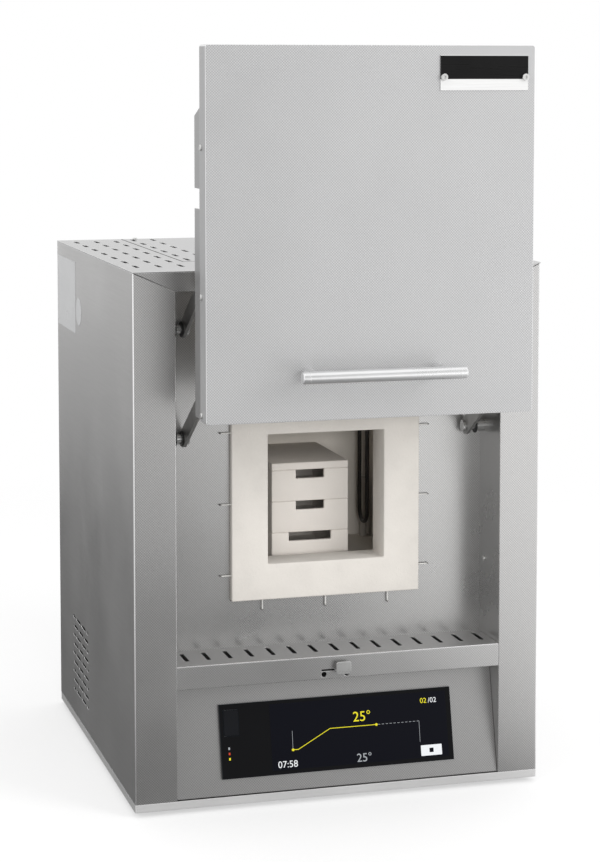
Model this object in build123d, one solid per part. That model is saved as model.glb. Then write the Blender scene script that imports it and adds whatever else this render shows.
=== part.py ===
# A bench-top high-temperature furnace with a lift-up door, modelled with the door raised.
# Sizes are in millimetres. The case front is y = 0 and the base tray's underside is z = 0
# while the pieces are made; save() then moves each one so that the origin lies on the bench,
# under the middle of the whole object. x runs to the right, seen from the front.
import math
import os

from build123d import *

# case
case_width = 385.0
case_depth = 385.0
case_height = 487.0
sheet = 1.2
tray_rim = 7.3
pillar_width = 38.5
recess_depth = 53.0
lintel_height = 18.3
shelf_top = 130.6
shelf_lip = 21.1
bend_radius = 1.8
mitre_gap = 0.8
seam_gap = 0.3
foot_height = 5.0
foot_radius = 14.0
foot_inset = 34.0

# roof and side slots
roof_slot_length = 26.0
roof_slot_width = 4.5
roof_slot_pitch_x = 20.8
roof_slot_pitch_y = 49.3
roof_slot_start = 55.0
roof_slot_edge = 14.5
roof_panel_edge = 67.0
roof_panel_front = 94.0
roof_panel_rail = 6.0
side_slot_length = 22.5
side_slot_width = 3.0
side_slot_pitch_y = 28.5
side_slot_pitch_z = 9.35
side_slot_rows = 9
side_slot_top = 107.7
side_field_front = 225.5
side_field_rear = 308.0

# shelf and air slider
shelf_slots = 15
shelf_slot_length = 28.0
shelf_slot_width = 4.2
shelf_slot_margin = 11.9
shelf_slot_shift = 2.0
shelf_slot_front = 17.0
slider_travel = 12.0
slider_tab_width = 14.0
slider_tab_left = -6.5
slider_slot_height = 117.5
slider_sheet = 1.0
lip_hole_radius = 2.5
lip_hole_drop = 4.0

# control panel
fascia_foot = 2.0
fascia_lean = 23.0
glass_width = 222.4
glass_length = 66.8
glass_start = 15.3
glass_thickness = 3.0
housing_depth = 26.0
housing_margin = 7.0
cover_width = 13.5
cover_length = 23.0
cover_edge = 3.7
cover_top = 5.4
cover_thickness = 2.0
cover_gap = 0.3
port_depth = 9.0

# door linkage
pivot_setback = 44.0
lower_pivot_height = 330.0
pivot_spacing = 100.0
arm_length = 149.1
arm_width = 16.0
arm_thickness = 3.0
arm_side_gap = 16.0
shaft_radius = 4.0
boss_radius = 5.5
boss_length = 8.5
head_thickness = 2.8
ring_radius = 7.2
ring_thickness = 1.0
running_gap = 0.06
open_pivot_gap = 0.4
axial_gap = 0.1
stop_height = 28.0
recess_screw_shift = 4.0
recess_screw_rise = 72.0

# door
door_projection = 92.0
door_side_gap = 5.75
door_height = 322.5
door_skin = 1.2
door_pan_depth = 21.0
door_corner = 2.5
door_pivot_setback = 10.0
door_pivot_height = 46.8
bracket_thickness = 2.0
bracket_depth = 45.0
bracket_height = 271.0
bracket_chamfer = 9.0
notch_depth = 18.0
notch_below = 9.5
notch_above = 8.0
screw_radius = 2.9
screw_head = 1.6
bracket_screw_heights = (3.5, 105.0, 232.5)
bracket_screw_setback = 15.0
cassette_side_gap = 18.25
cassette_back = 28.0
cassette_bottom = 12.0
cassette_top = 262.0
plug_overlap = 6.0
plug_gap = 0.5
handle_length = 147.0
handle_radius = 5.5
handle_height = 42.5
handle_standoff = 35.0
handle_post_spacing = 118.0
handle_post_radius = 4.2
badge_width = 81.0
badge_height = 30.6
badge_side = 6.8
badge_drop = 8.5
badge_thickness = 1.0
badge_screw_inset = 3.0
badge_screw_radius = 3.0
badge_screw_head = 2.5
badge_screw_rise = 11.5

# chamber
collar_width = 182.0
collar_height = 181.0
collar_bottom = 174.9
collar_front = 47.0
collar_depth = 35.0
mouth_width = 112.5
mouth_height = 121.0
mouth_bottom = 208.3
wire_radius = 0.6
staple_reach = 10.0
staple_first = 24.0
cavity_width = 189.0
cavity_depth = 133.0
cavity_floor = 195.0
cavity_height = 140.0
board_side = 38.8
board_floor = 45.8
board_roof = 65.8
board_rear = 60.8
element_radius = 2.0
element_spread = 12.5
element_side = 19.0
element_rows = (120.0, 172.0)
element_low = 22.0
terminal_radius = 4.0
terminal_hole_gap = 0.5
terminal_top = 23.0
clamp_size = 13.0
clamp_height = 10.0
tube_radius = 3.75
tube_bore = 2.2
tube_rise = 60.0
tube_corner_x = 8.0
tube_corner_y = 7.0
tube_gap = 0.05
saggar_width = 76.0
saggar_depth = 110.0
saggar_height = 30.0
saggar_wall = 5.0
saggar_floor = 4.0
saggar_front = 101.5
saggar_lid_height = 7.0
notch_drop = 8.5
notch_width = 28.0
low_notch_width = 42.0
probe_radius = 3.0
probe_reach = 12.0
probe_drop = 9.0
probe_head_radius = 11.0
probe_head_length = 20.0

# power and cooling
support_inset = 33.3
support_front = 95.0
support_length = 160.0
support_sheet = 2.0
support_foot = 14.0
transformer_width = 80.0
transformer_depth = 66.0
transformer_height = 84.0
transformer_front = 150.0
coil_bulge = 12.0
regulator_width = 66.0
regulator_depth = 90.0
regulator_base = 12.0
regulator_fin = 26.0
regulator_fins = 9
fan_size = 120.0
fan_depth = 38.0
fan_height = 250.0
fan_bore_gap = 3.0
fan_hub_radius = 20.0
fan_blades = 7
fan_tip_gap = 1.2
fan_slot_width = 4.0
fan_slot_pitch = 10.0
fan_motor_length = 10.0
fan_shaft_radius = 2.0
inlet_x = 120.0
inlet_height = 60.0
inlet_width = 46.0
inlet_tall = 32.0
inlet_flange = 3.0
inlet_body = 25.0
inlet_wall = 5.0
inlet_pin = 4.0
inlet_free_depth = 6.0
switch_x = 60.0
switch_width = 22.0
switch_tall = 30.0
switch_wall = 3.0
rocker_tilt = 8.0
rocker_gap = 0.5
rocker_body = 8.0
panel_screw_radius = 2.6
panel_screw_head = 1.8

# labels on the left side
label_length = 100.0
label_height = 72.0
label_top = 14.0
label_rear = 4.0
seal_radius = 14.0
seal_forward = 18.0
label_thickness = 0.3

# places worked out from the sizes above
half_width = case_width / 2
recess_half = half_width - pillar_width
recess_top = case_height - lintel_height
lip_bottom = shelf_top - shelf_lip
shelf_slot_pitch = 2 * (recess_half - shelf_slot_margin) / (shelf_slots - 1)
upper_pivot_height = lower_pivot_height + pivot_spacing
open_reach = door_projection - door_pivot_setback + pivot_setback
closed_reach = pivot_setback - door_pivot_setback
open_rise = math.sqrt(arm_length ** 2 - open_reach ** 2)
closed_drop = math.sqrt(arm_length ** 2 - closed_reach ** 2)
open_angle = math.degrees(math.atan2(open_rise, open_reach))
closed_angle = math.degrees(math.atan2(-closed_drop, closed_reach))
door_travel = open_angle - closed_angle
door_bottom = lower_pivot_height + open_rise - door_pivot_height
door_lift = open_rise + closed_drop
door_half = recess_half - door_side_gap
cassette_half_width = door_half - cassette_side_gap
door_front = -door_projection
arm_outer = recess_half - arm_side_gap
arm_inner = arm_outer - arm_thickness
casing_front = recess_depth + sheet
cavity_front = collar_front + collar_depth
cavity_back = cavity_front + cavity_depth
cavity_half = cavity_width / 2
cavity_top = cavity_floor + cavity_height
board_half = cavity_half + board_side
board_bottom = cavity_floor - board_floor
support_x = board_half - support_inset
board_top = cavity_top + board_roof
board_back = cavity_back + board_rear
casing_top = board_top + sheet
casing_bottom = board_bottom - sheet
element_x = cavity_half - element_side
slope = math.degrees(math.atan2(fascia_lean, lip_bottom - tray_rim))
slope_length = math.hypot(fascia_lean, lip_bottom - tray_rim)
rear_face = case_depth - sheet
object_front = door_front - handle_standoff - handle_radius
object_rear = case_depth + inlet_flange
middle_y = (object_front + object_rear) / 2

fascia_plane = Plane(
    origin=(0, fascia_foot, tray_rim),
    x_dir=(1, 0, 0),
    z_dir=(0, -math.cos(math.radians(slope)), math.sin(math.radians(slope))),
)


def block(x0, x1, y0, y1, z0, z1):
    low = Pos(x0, y0, z0)
    return low * Box(x1 - x0, y1 - y0, z1 - z0, align=(Align.MIN, Align.MIN, Align.MIN))


def rod_x(radius, x0, x1, y, z):
    return Pos((x0 + x1) / 2, y, z) * Rot(0, 90, 0) * Cylinder(radius, abs(x1 - x0))


def rod_y(radius, y0, y1, x, z):
    return Pos(x, (y0 + y1) / 2, z) * Rot(90, 0, 0) * Cylinder(radius, abs(y1 - y0))


def rod_z(radius, z0, z1, x, y):
    return Pos(x, y, (z0 + z1) / 2) * Cylinder(radius, abs(z1 - z0))


def prism(points, push):
    edge = Polyline(*points, close=True)
    return extrude(make_face(edge), amount=Vector(*push).length, dir=push)


def on_fascia(x0, x1, s0, s1, n0, n1):
    return fascia_plane * block(x0, x1, s0, s1, n0, n1)


def nearest_edge(shape, point):
    return min(shape.edges(), key=lambda edge: (edge.center() - Vector(*point)).length)


def rounded(shape, points, radius):
    return fillet([nearest_edge(shape, point) for point in points], radius)


def slot_down(x, y, length, width, z0, z1):
    outline = Pos(x, y, z0) * SlotOverall(length, width, rotation=90)
    return extrude(outline, amount=z1 - z0)


def slot_through_side(y0, y1, z, width, x0, x1):
    straight = block(x0, x1, y0 + width / 2, y1 - width / 2, z - width / 2, z + width / 2)
    ends = [rod_x(width / 2, x0, x1, y, z) for y in (y0 + width / 2, y1 - width / 2)]
    return straight + ends


def slot_through_back(x_half, z, width, y0, y1):
    straight = block(-x_half + width / 2, x_half - width / 2, y0, y1, z - width / 2, z + width / 2)
    ends = [rod_y(width / 2, y0, y1, x, z) for x in (-x_half + width / 2, x_half - width / 2)]
    return straight + ends


def mirrored(shape):
    return mirror(shape, about=Plane.YZ)


def save(name, shapes):
    group = shapes if isinstance(shapes, list) else [shapes]
    solids = [solid for shape in group for solid in shape.solids()]
    placed = [Pos(0, -middle_y, foot_height) * solid for solid in solids]
    result = placed[0] if len(placed) == 1 else Compound(children=placed)
    export_step(result, os.path.join("parts", name + ".step"))


# case

def base_tray():
    outer = block(-half_width, half_width, 0, case_depth, 0, tray_rim)
    corners = [(x, y, tray_rim / 2) for x in (-half_width, half_width) for y in (0, case_depth)]
    outer = rounded(outer, corners, bend_radius)
    hollow = block(-half_width + sheet, half_width - sheet, sheet, rear_face, sheet, tray_rim)
    return outer - hollow


def feet():
    places = [(x, y) for x in (-1, 1) for y in (foot_inset, case_depth - foot_inset)]
    discs = []
    for side, y in places:
        disc = rod_z(foot_radius, -foot_height, 0, side * (half_width - foot_inset), y)
        low_rim = disc.edges().sort_by(Axis.Z)[0]
        discs.append(fillet(low_rim, foot_height / 4))
    return discs


def side_slots():
    cuts = []
    for row in range(side_slot_rows):
        z = side_slot_top - row * side_slot_pitch_z
        shift = 0 if row % 2 else side_slot_pitch_y / 2
        start = side_field_front - shift
        while start < side_field_rear - side_slot_width:
            y0 = max(start, side_field_front)
            y1 = min(start + side_slot_length, side_field_rear)
            if y1 - y0 > side_slot_width * 1.5:
                cuts.append(slot_through_side(
                    y0, y1, z, side_slot_width, -half_width - sheet, -half_width + 2 * sheet))
            start += side_slot_pitch_y
    return cuts


def left_side_panel():
    top = case_height - sheet
    wall = block(-half_width, -half_width + sheet, 0, rear_face, tray_rim, top)
    pillar = prism(
        [
            (-half_width, 0, tray_rim),
            (-recess_half, 0, tray_rim),
            (-recess_half, 0, recess_top),
            (-half_width, 0, top),
        ],
        (0, sheet, 0),
    )
    panel = wall + pillar
    panel = rounded(panel, [(-half_width, 0, (tray_rim + top) / 2)], bend_radius)
    return panel - side_slots()


def recess_walls():
    left = block(-recess_half - sheet, -recess_half, sheet, recess_depth, tray_rim, recess_top)
    return [left, mirrored(left)]


def lintel():
    top = case_height - sheet
    front = prism(
        [
            (-half_width + sheet + seam_gap, 0, top),
            (half_width - sheet - seam_gap, 0, top),
            (recess_half - mitre_gap, 0, recess_top),
            (-recess_half + mitre_gap, 0, recess_top),
        ],
        (0, sheet, 0),
    )
    ceiling = block(
        -recess_half + mitre_gap, recess_half - mitre_gap, 0, recess_depth, recess_top, recess_top + sheet)
    return front + ceiling


def recess_back():
    plate = block(
        -recess_half - sheet, recess_half + sheet, recess_depth, casing_front, lip_bottom, recess_top + sheet)
    hole = block(
        -collar_width / 2 - seam_gap, collar_width / 2 + seam_gap,
        recess_depth - sheet, casing_front + sheet,
        collar_bottom - seam_gap, collar_bottom + collar_height + seam_gap,
    )
    return plate - hole


def roof_slot(x, y):
    return slot_down(
        x, y, roof_slot_length, roof_slot_width, case_height - 2 * sheet, case_height + sheet)


def roof_frame():
    panel_half = half_width - roof_panel_edge
    top = block(-half_width, half_width, 0, case_depth, case_height - sheet, case_height)
    opening = block(
        -panel_half, panel_half, roof_panel_front, case_depth + sheet, case_height - 2 * sheet, case_height + sheet)
    rail_half = panel_half - roof_panel_rail
    rails = block(
        -panel_half - roof_panel_rail, panel_half + roof_panel_rail,
        roof_panel_front - roof_panel_rail, rear_face - seam_gap, case_height - 2 * sheet, case_height - sheet)
    window = block(
        -rail_half, rail_half, roof_panel_front + roof_panel_rail, case_depth,
        case_height - 3 * sheet, case_height)
    frame = (top - opening) + (rails - window)
    cuts = []
    for column in range(3):
        x = half_width - roof_slot_edge - column * roof_slot_pitch_x
        for row in range(7):
            y = roof_slot_start + row * roof_slot_pitch_y
            cuts += [roof_slot(x, y), roof_slot(-x, y)]
    front_edge = (0, 0, case_height)
    return rounded(frame - cuts, [front_edge], sheet * 0.6)


def roof_center_panel():
    panel_half = half_width - roof_panel_edge - seam_gap * 1.5
    front = roof_panel_front + seam_gap * 1.5
    panel = block(-panel_half, panel_half, front, case_depth, case_height - sheet, case_height)
    cuts = []
    for column in range(2):
        x = half_width - roof_slot_edge - (column + 3) * roof_slot_pitch_x
        for row in range(6):
            y = roof_slot_start + (row + 1) * roof_slot_pitch_y + roof_slot_pitch_y * 0.3
            cuts += [roof_slot(x, y), roof_slot(-x, y)]
    return panel - cuts


def dome_screw(radius, head):
    cap = Cylinder(radius, head, align=(Align.CENTER, Align.CENTER, Align.MIN))
    return fillet(cap.edges().sort_by(Axis.Z)[-1], head * 0.7)


def panel_screws():
    screws = []
    head = dome_screw(panel_screw_radius, panel_screw_head)
    roof_x = half_width - roof_panel_edge - 14
    for x in (-roof_x, roof_x):
        screws.append(Pos(x, case_depth - 8, case_height) * head)
    rear_x = half_width - 14
    for x in (-rear_x, rear_x):
        for z in (tray_rim + 12, case_height / 2, case_height - 14):
            screws.append(Pos(x, case_depth, z) * Rot(-90, 0, 0) * head)
    return screws


def rear_panel():
    panel = block(
        -half_width, half_width, rear_face, case_depth, tray_rim, case_height - sheet)
    cuts = []
    bore = fan_size / 2 - fan_bore_gap
    count = int(bore // fan_slot_pitch)
    for row in range(-count, count + 1):
        rise = row * fan_slot_pitch
        chord = math.sqrt(bore ** 2 - rise ** 2)
        if chord > 2 * fan_slot_width:
            cuts.append(slot_through_back(
                chord, fan_height + rise, fan_slot_width, rear_face - sheet, case_depth + sheet))
    for x, width, tall in ((inlet_x, inlet_width, inlet_tall), (switch_x, switch_width, switch_tall)):
        cuts.append(block(
            x - width / 2 + inlet_flange, x + width / 2 - inlet_flange,
            rear_face - sheet, case_depth + sheet,
            inlet_height - tall / 2 + inlet_flange, inlet_height + tall / 2 - inlet_flange))
    return panel - cuts


# shelf and air slider

def shelf():
    side = recess_half - seam_gap
    fascia_top = fascia_foot + fascia_lean
    top = block(-side, side, 0, recess_depth, shelf_top - sheet, shelf_top)
    lip = block(-side, side, 0, sheet, lip_bottom, shelf_top)
    under = block(-side, side, 0, fascia_top + 8, lip_bottom, lip_bottom + sheet)
    body = rounded(top + lip + under, [(0, 0, shelf_top)], sheet * 0.9)
    cuts = []
    middle = (shelf_slots - 1) / 2
    for index in range(shelf_slots):
        x = shelf_slot_shift + (index - middle) * shelf_slot_pitch
        y = shelf_slot_front + shelf_slot_length / 2
        cuts.append(slot_down(
            x, y, shelf_slot_length, shelf_slot_width, shelf_top - 2 * sheet, shelf_top + sheet))
    slot_left = slider_tab_left - slider_travel - seam_gap
    slot_right = slider_tab_left + slider_tab_width + seam_gap
    cuts.append(block(
        slot_left, slot_right, -sheet, 2 * sheet,
        slider_slot_height - slider_sheet / 2 - seam_gap, slider_slot_height + slider_sheet / 2 + seam_gap))
    for x in (slot_left + lip_hole_radius, slot_right - lip_hole_radius):
        cuts.append(rod_y(lip_hole_radius, -sheet, 2 * sheet, x, slider_slot_height - lip_hole_drop))
    return body - cuts


def air_slider():
    left = slider_tab_left
    right = left + slider_tab_width
    low = slider_slot_height - slider_sheet / 2
    high = slider_slot_height + slider_sheet / 2
    back = sheet + seam_gap
    shutter = block(
        left - 20, right + 8, back, back + slider_sheet, lip_bottom + sheet + 1, shelf_top - sheet - 2)
    neck = block(left, right, -6, back + slider_sheet, low, high)
    tab = block(left, right, -6 - slider_sheet, -6, low - 2.5, high + 8)
    tab = rounded(
        tab, [(x, -6 - slider_sheet / 2, z) for x in (left, right) for z in (low - 2.5, high + 8)], 2.2)
    return shutter + neck + tab


# control panel

def control_fascia():
    side = recess_half - seam_gap
    plate = on_fascia(-side, side, seam_gap * 2, slope_length - seam_gap * 2, -sheet, 0)
    hole = on_fascia(
        -glass_width / 2 + housing_margin - seam_gap, glass_width / 2 - housing_margin + seam_gap,
        glass_start + housing_margin - seam_gap, glass_start + glass_length - housing_margin + seam_gap,
        -2 * sheet, sheet)
    return plate - hole


def cover_box(gap):
    left = -glass_width / 2 + cover_edge
    top = glass_start + glass_length - cover_top
    return left - gap, left + cover_width + gap, top - cover_length - gap, top + gap


def control_glass():
    plate = on_fascia(
        -glass_width / 2, glass_width / 2, glass_start, glass_start + glass_length, 0, glass_thickness)
    x0, x1, s0, s1 = cover_box(cover_gap)
    return plate - on_fascia(x0, x1, s0, s1, -sheet, glass_thickness + sheet)


def controller_housing():
    body = on_fascia(
        -glass_width / 2 + housing_margin, glass_width / 2 - housing_margin,
        glass_start + housing_margin, glass_start + glass_length - housing_margin,
        -housing_depth, 0)
    x0, x1, s0, s1 = cover_box(-3.0)
    left = max(x0, -glass_width / 2 + housing_margin + 1)
    port = on_fascia(left, x1, s0, s1 - 2, -port_depth, 1)
    return body - port


def port_cover():
    x0, x1, s0, s1 = cover_box(0)
    top = glass_thickness + 0.4
    return on_fascia(x0, x1, s0, s1, top - cover_thickness, top)


# door linkage

def case_pivots():
    return [(pivot_setback, lower_pivot_height), (pivot_setback, upper_pivot_height)]


def pivot_studs():
    studs = []
    for y, z in case_pivots():
        boss = rod_x(boss_radius, -recess_half, -recess_half + boss_length, y, z)
        shaft = rod_x(shaft_radius, -recess_half, -arm_inner + axial_gap, y, z)
        head = rod_x(
            boss_radius, -arm_inner + axial_gap, -arm_inner + axial_gap + head_thickness, y, z)
        studs.append(boss + shaft + head)
    stop = rod_x(
        boss_radius - 1, -recess_half, -recess_half + boss_length, pivot_setback, upper_pivot_height + stop_height)
    studs.append(stop)
    return studs + [mirrored(stud) for stud in studs]


def pivot_rings():
    rings = []
    inner_end = -arm_outer - axial_gap - ring_thickness
    outer_end = -recess_half + boss_length + axial_gap
    for y, z in case_pivots():
        for start in (outer_end, inner_end):
            disc = rod_x(ring_radius, start, start + ring_thickness, y, z)
            bore = rod_x(shaft_radius + running_gap, start - 1, start + ring_thickness + 1, y, z)
            rings.append(disc - bore)
    return rings + [mirrored(ring) for ring in rings]


def lift_arm(pivot_height, far_gap):
    near = running_gap
    plate = block(-arm_outer, -arm_inner, 0, arm_length, -arm_width / 2, arm_width / 2)
    ends = [rod_x(arm_width / 2, -arm_outer, -arm_inner, y, 0) for y in (0, arm_length)]
    bores = [
        rod_x(shaft_radius + near, -arm_outer - 1, -arm_inner + 1, 0, 0),
        rod_x(shaft_radius + far_gap, -arm_outer - 1, -arm_inner + 1, arm_length, 0),
    ]
    arm = (plate + ends) - bores
    return Pos(0, pivot_setback, pivot_height) * Rot(180 - open_angle, 0, 0) * arm


# door, drawn where it stands when raised

def door_pan():
    outer = block(
        -door_half, door_half, door_front, door_front + door_pan_depth, door_bottom, door_bottom + door_height)
    middle = door_front + door_pan_depth / 2
    corners = [(x, middle, z) for x in (-door_half, door_half) for z in (door_bottom, door_bottom + door_height)]
    outer = rounded(outer, corners, door_corner)
    front = outer.faces().sort_by(Axis.Y)[0]
    outer = fillet(front.edges(), door_skin * 0.6)
    hollow = block(
        -door_half + door_skin, door_half - door_skin,
        door_front + door_skin, door_front + door_pan_depth + 1,
        door_bottom + door_skin, door_bottom + door_height - door_skin)
    return outer - hollow


def door_brackets():
    outer = -door_half + door_skin
    front = door_front + door_skin + 1
    back = door_front + bracket_depth
    low = door_bottom + door_skin + seam_gap
    top = door_bottom + bracket_height
    stud = lower_pivot_height - (door_bottom - door_lift)
    notch_low = door_bottom + stud - notch_below
    notch_high = door_bottom + stud + notch_above
    notch_front = back - notch_depth
    pan_back = door_front + door_pan_depth
    profile = [
        (front, low), (back, low), (back, notch_low), (notch_front, notch_low),
        (notch_front, notch_high), (back, notch_high), (back, top - bracket_chamfer),
        (pan_back, top), (front, top),
    ]
    plate = prism([(outer, y, z) for y, z in profile], (bracket_thickness, 0, 0))
    return [plate, mirrored(plate)]


def bracket_screws():
    screws = []
    for height in bracket_screw_heights:
        head = dome_screw(screw_radius, screw_head)
        place = Pos(-door_half, door_front + bracket_screw_setback, door_bottom + height + screw_radius)
        screws.append(place * Rot(0, -90, 0) * head)
    return screws + [mirrored(screw) for screw in screws]


def door_pins():
    pins = []
    start = -door_half + door_skin + bracket_thickness
    y = door_front + door_pivot_setback
    for rise in (0, pivot_spacing):
        z = door_bottom + door_pivot_height + rise
        shoulder = rod_x(boss_radius + 0.5, start, -arm_outer - axial_gap, y, z)
        shaft = rod_x(shaft_radius, start, -arm_inner + axial_gap, y, z)
        head = rod_x(
            boss_radius, -arm_inner + axial_gap, -arm_inner + axial_gap + head_thickness, y, z)
        pins.append(shoulder + shaft + head)
    return pins + [mirrored(pin) for pin in pins]


def cassette_block(inset):
    return block(
        -cassette_half_width + inset, cassette_half_width - inset,
        door_front + door_skin, door_front + cassette_back - inset,
        door_bottom + cassette_bottom + inset, door_bottom + cassette_top - inset)


def door_cassette():
    return cassette_block(0) - cassette_block(door_skin)


def door_filling():
    return cassette_block(door_skin)


def door_plug():
    half = collar_width / 2 + plug_overlap
    closed_bottom = door_bottom - door_lift
    low = collar_bottom - plug_overlap - closed_bottom
    high = low + collar_height + 2 * plug_overlap
    plug = block(
        -half, half, door_front + cassette_back, door_front + collar_front - plug_gap,
        door_bottom + low, door_bottom + high)
    face = plug.faces().sort_by(Axis.Y)[-1]
    return chamfer(face.edges(), 3.0)


def handle_bar():
    y = door_front - handle_standoff
    bar = rod_x(handle_radius, -handle_length / 2, handle_length / 2, y, door_bottom + handle_height)
    ends = [bar.edges().sort_by(Axis.X)[0], bar.edges().sort_by(Axis.X)[-1]]
    return chamfer(ends, 0.8)


def handle_posts():
    y = door_front - handle_standoff
    z = door_bottom + handle_height
    bar = rod_x(handle_radius + 0.02, -handle_length, handle_length, y, z)
    posts = [
        rod_y(handle_post_radius, y, door_front, x, z) - bar
        for x in (-handle_post_spacing / 2, handle_post_spacing / 2)
    ]
    return [post.solids().sort_by(Axis.Y)[-1] for post in posts]


def badge_right():
    return door_half - badge_side


def badge_plate():
    top = door_bottom + door_height - badge_drop
    return block(
        badge_right() - badge_width, badge_right(),
        door_front - badge_thickness, door_front, top - badge_height, top)


def badge_screws():
    y = door_front - badge_thickness
    z = door_bottom + door_height - badge_drop - badge_height + badge_screw_rise
    screws = []
    for x in (badge_right() - badge_width + badge_screw_inset, badge_right() - badge_screw_inset):
        head = rod_y(badge_screw_radius, y - badge_screw_head, y, x, z)
        socket = extrude(
            Plane((x, y - badge_screw_head, z), z_dir=(0, 1, 0)) * RegularPolygon(badge_screw_radius * 0.5, 6),
            amount=badge_screw_head * 0.6)
        screws.append(head - socket)
    return screws


# chamber

def fibre_collar():
    ring = block(
        -collar_width / 2, collar_width / 2, collar_front, cavity_front,
        collar_bottom, collar_bottom + collar_height)
    mouth = block(
        -mouth_width / 2, mouth_width / 2, collar_front - 1, cavity_front + 1,
        mouth_bottom, mouth_bottom + mouth_height)
    return ring - mouth


def staple(turn):
    y = recess_depth - 2.5
    wire = Pos(staple_reach / 2, 0, 0) * Rot(0, 90, 0) * Cylinder(wire_radius, staple_reach)
    knee = Pos(staple_reach, 0, 0) * Sphere(wire_radius)
    hook = Pos(staple_reach, 1.25, 0) * Rot(90, 0, 0) * Cylinder(wire_radius, 2.5)
    return Pos(0, y, 0) * Rot(0, turn, 0) * (wire + knee + hook)


def collar_staples():
    staples = []
    half = collar_width / 2
    middle_z = collar_bottom + collar_height / 2
    step_x = half - staple_first - 6
    step_z = collar_height / 2 - staple_first
    for index in (-1, 0, 1):
        staples.append(Pos(half, 0, middle_z + index * step_z) * staple(0))
        staples.append(Pos(-half, 0, middle_z + index * step_z) * staple(180))
        staples.append(Pos(index * step_x, 0, collar_bottom) * staple(90))
        staples.append(Pos(index * step_x, 0, collar_bottom + collar_height) * staple(-90))
    return staples


def front_board():
    board = block(-board_half, board_half, casing_front, cavity_front, board_bottom, board_top)
    hole = block(
        -collar_width / 2 - seam_gap, collar_width / 2 + seam_gap, casing_front - 1, cavity_front + 1,
        collar_bottom - seam_gap, collar_bottom + collar_height + seam_gap)
    return board - hole


def tube_place():
    return cavity_half - tube_corner_x, cavity_back - tube_corner_y


def floor_board():
    board = block(-board_half, board_half, cavity_front, board_back, board_bottom, cavity_floor)
    x, y = tube_place()
    return board - rod_z(tube_radius + tube_gap, board_bottom - 1, cavity_floor + 1, x, y)


def terminal_places():
    return [
        (side * element_x, row + step)
        for side in (-1, 1) for row in element_rows for step in (-element_spread, element_spread)
    ]


def roof_board():
    board = block(-board_half, board_half, cavity_front, board_back, cavity_top, board_top)
    radius = terminal_radius + terminal_hole_gap
    return board - [rod_z(radius, cavity_top - 1, board_top + 1, x, y) for x, y in terminal_places()]


def side_boards():
    left = block(-board_half, -cavity_half, cavity_front, board_back, cavity_floor, cavity_top)
    return [left, mirrored(left)]


def rear_board():
    board = block(-cavity_half, cavity_half, cavity_back, board_back, cavity_floor, cavity_top)
    return board - rod_y(probe_radius + tube_gap, cavity_back - 1, board_back + 1, 0, cavity_top - probe_drop)


def inner_casing():
    outer = block(
        -board_half - sheet, board_half + sheet, casing_front, board_back + sheet, casing_bottom, casing_top)
    hollow = block(-board_half, board_half, casing_front - 1, board_back, board_bottom, board_top)
    x, y = tube_place()
    radius = terminal_radius + terminal_hole_gap
    cuts = [rod_z(radius, board_top - 1, casing_top + 1, tx, ty) for tx, ty in terminal_places()]
    cuts.append(rod_z(tube_radius + tube_gap, casing_bottom - 1, board_bottom + 1, x, y))
    cuts.append(rod_y(
        probe_radius + tube_gap, board_back - 1, board_back + sheet + 1, 0, cavity_top - probe_drop))
    return outer - hollow - cuts


def heating_elements():
    elements = []
    bend_z = cavity_floor + element_low + element_spread
    thick_from = cavity_top + 8
    for side in (-1, 1):
        x = side * element_x
        for y in element_rows:
            loop = Pos(x, y, bend_z) * Rot(0, 90, 0) * Torus(element_spread, element_radius)
            reach = element_spread + 2 * element_radius
            bend = loop & block(x - reach, x + reach, y - reach, y + reach, bend_z - reach, bend_z)
            legs = []
            for step in (-element_spread, element_spread):
                legs.append(rod_z(element_radius, bend_z, thick_from, x, y + step))
                legs.append(rod_z(terminal_radius, thick_from, casing_top + terminal_top, x, y + step))
            elements.append(bend + legs)
    return elements


def element_clamps():
    clamps = []
    half = clamp_size / 2
    for x, y in terminal_places():
        body = block(x - half, x + half, y - half * 0.9, y + half * 0.9, casing_top, casing_top + clamp_height)
        clamps.append(body - rod_z(terminal_radius + tube_gap, casing_top - 1, casing_top + clamp_height + 1, x, y))
    return clamps


def air_inlet_tube():
    x, y = tube_place()
    low = casing_bottom - 12
    high = cavity_floor + tube_rise
    tube = rod_z(tube_radius, low, high, x, y)
    tube = fillet(tube.edges().sort_by(Axis.Z)[-1], 1.0)
    return tube - rod_z(tube_bore, low - 1, high - tube_bore, x, y)


def saggar(level, front_notch):
    half = saggar_width / 2
    low = cavity_floor + level * saggar_height
    high = low + saggar_height
    back = saggar_front + saggar_depth
    box = block(-half, half, saggar_front, back, low, high)
    hollow = block(
        -half + saggar_wall, half - saggar_wall, saggar_front + saggar_wall, back - saggar_wall,
        low + saggar_floor, high + 1)
    notch = block(
        -front_notch / 2, front_notch / 2, saggar_front - 1, back + 1, high - notch_drop, high + 1)
    return box - hollow - notch


def saggar_lid():
    half = saggar_width / 2
    low = cavity_floor + 3 * saggar_height
    return block(-half, half, saggar_front, saggar_front + saggar_depth, low, low + saggar_lid_height)


def thermocouple():
    z = cavity_top - probe_drop
    back = board_back + sheet
    rod = rod_y(probe_radius, cavity_back - probe_reach, back + probe_head_length, 0, z)
    head = rod_y(probe_head_radius, back, back + probe_head_length, 0, z)
    return rod + head


# power and cooling

def casing_supports():
    x = support_x
    back = support_front + support_length
    web = block(x, x + support_sheet, support_front, back, sheet, casing_bottom)
    foot = block(x, x + support_foot, support_front, back, sheet, sheet + support_sheet)
    ledge = block(x, x + support_foot, support_front, back, casing_bottom - support_sheet, casing_bottom)
    right = web + foot + ledge
    return [right, mirrored(right)]


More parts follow.
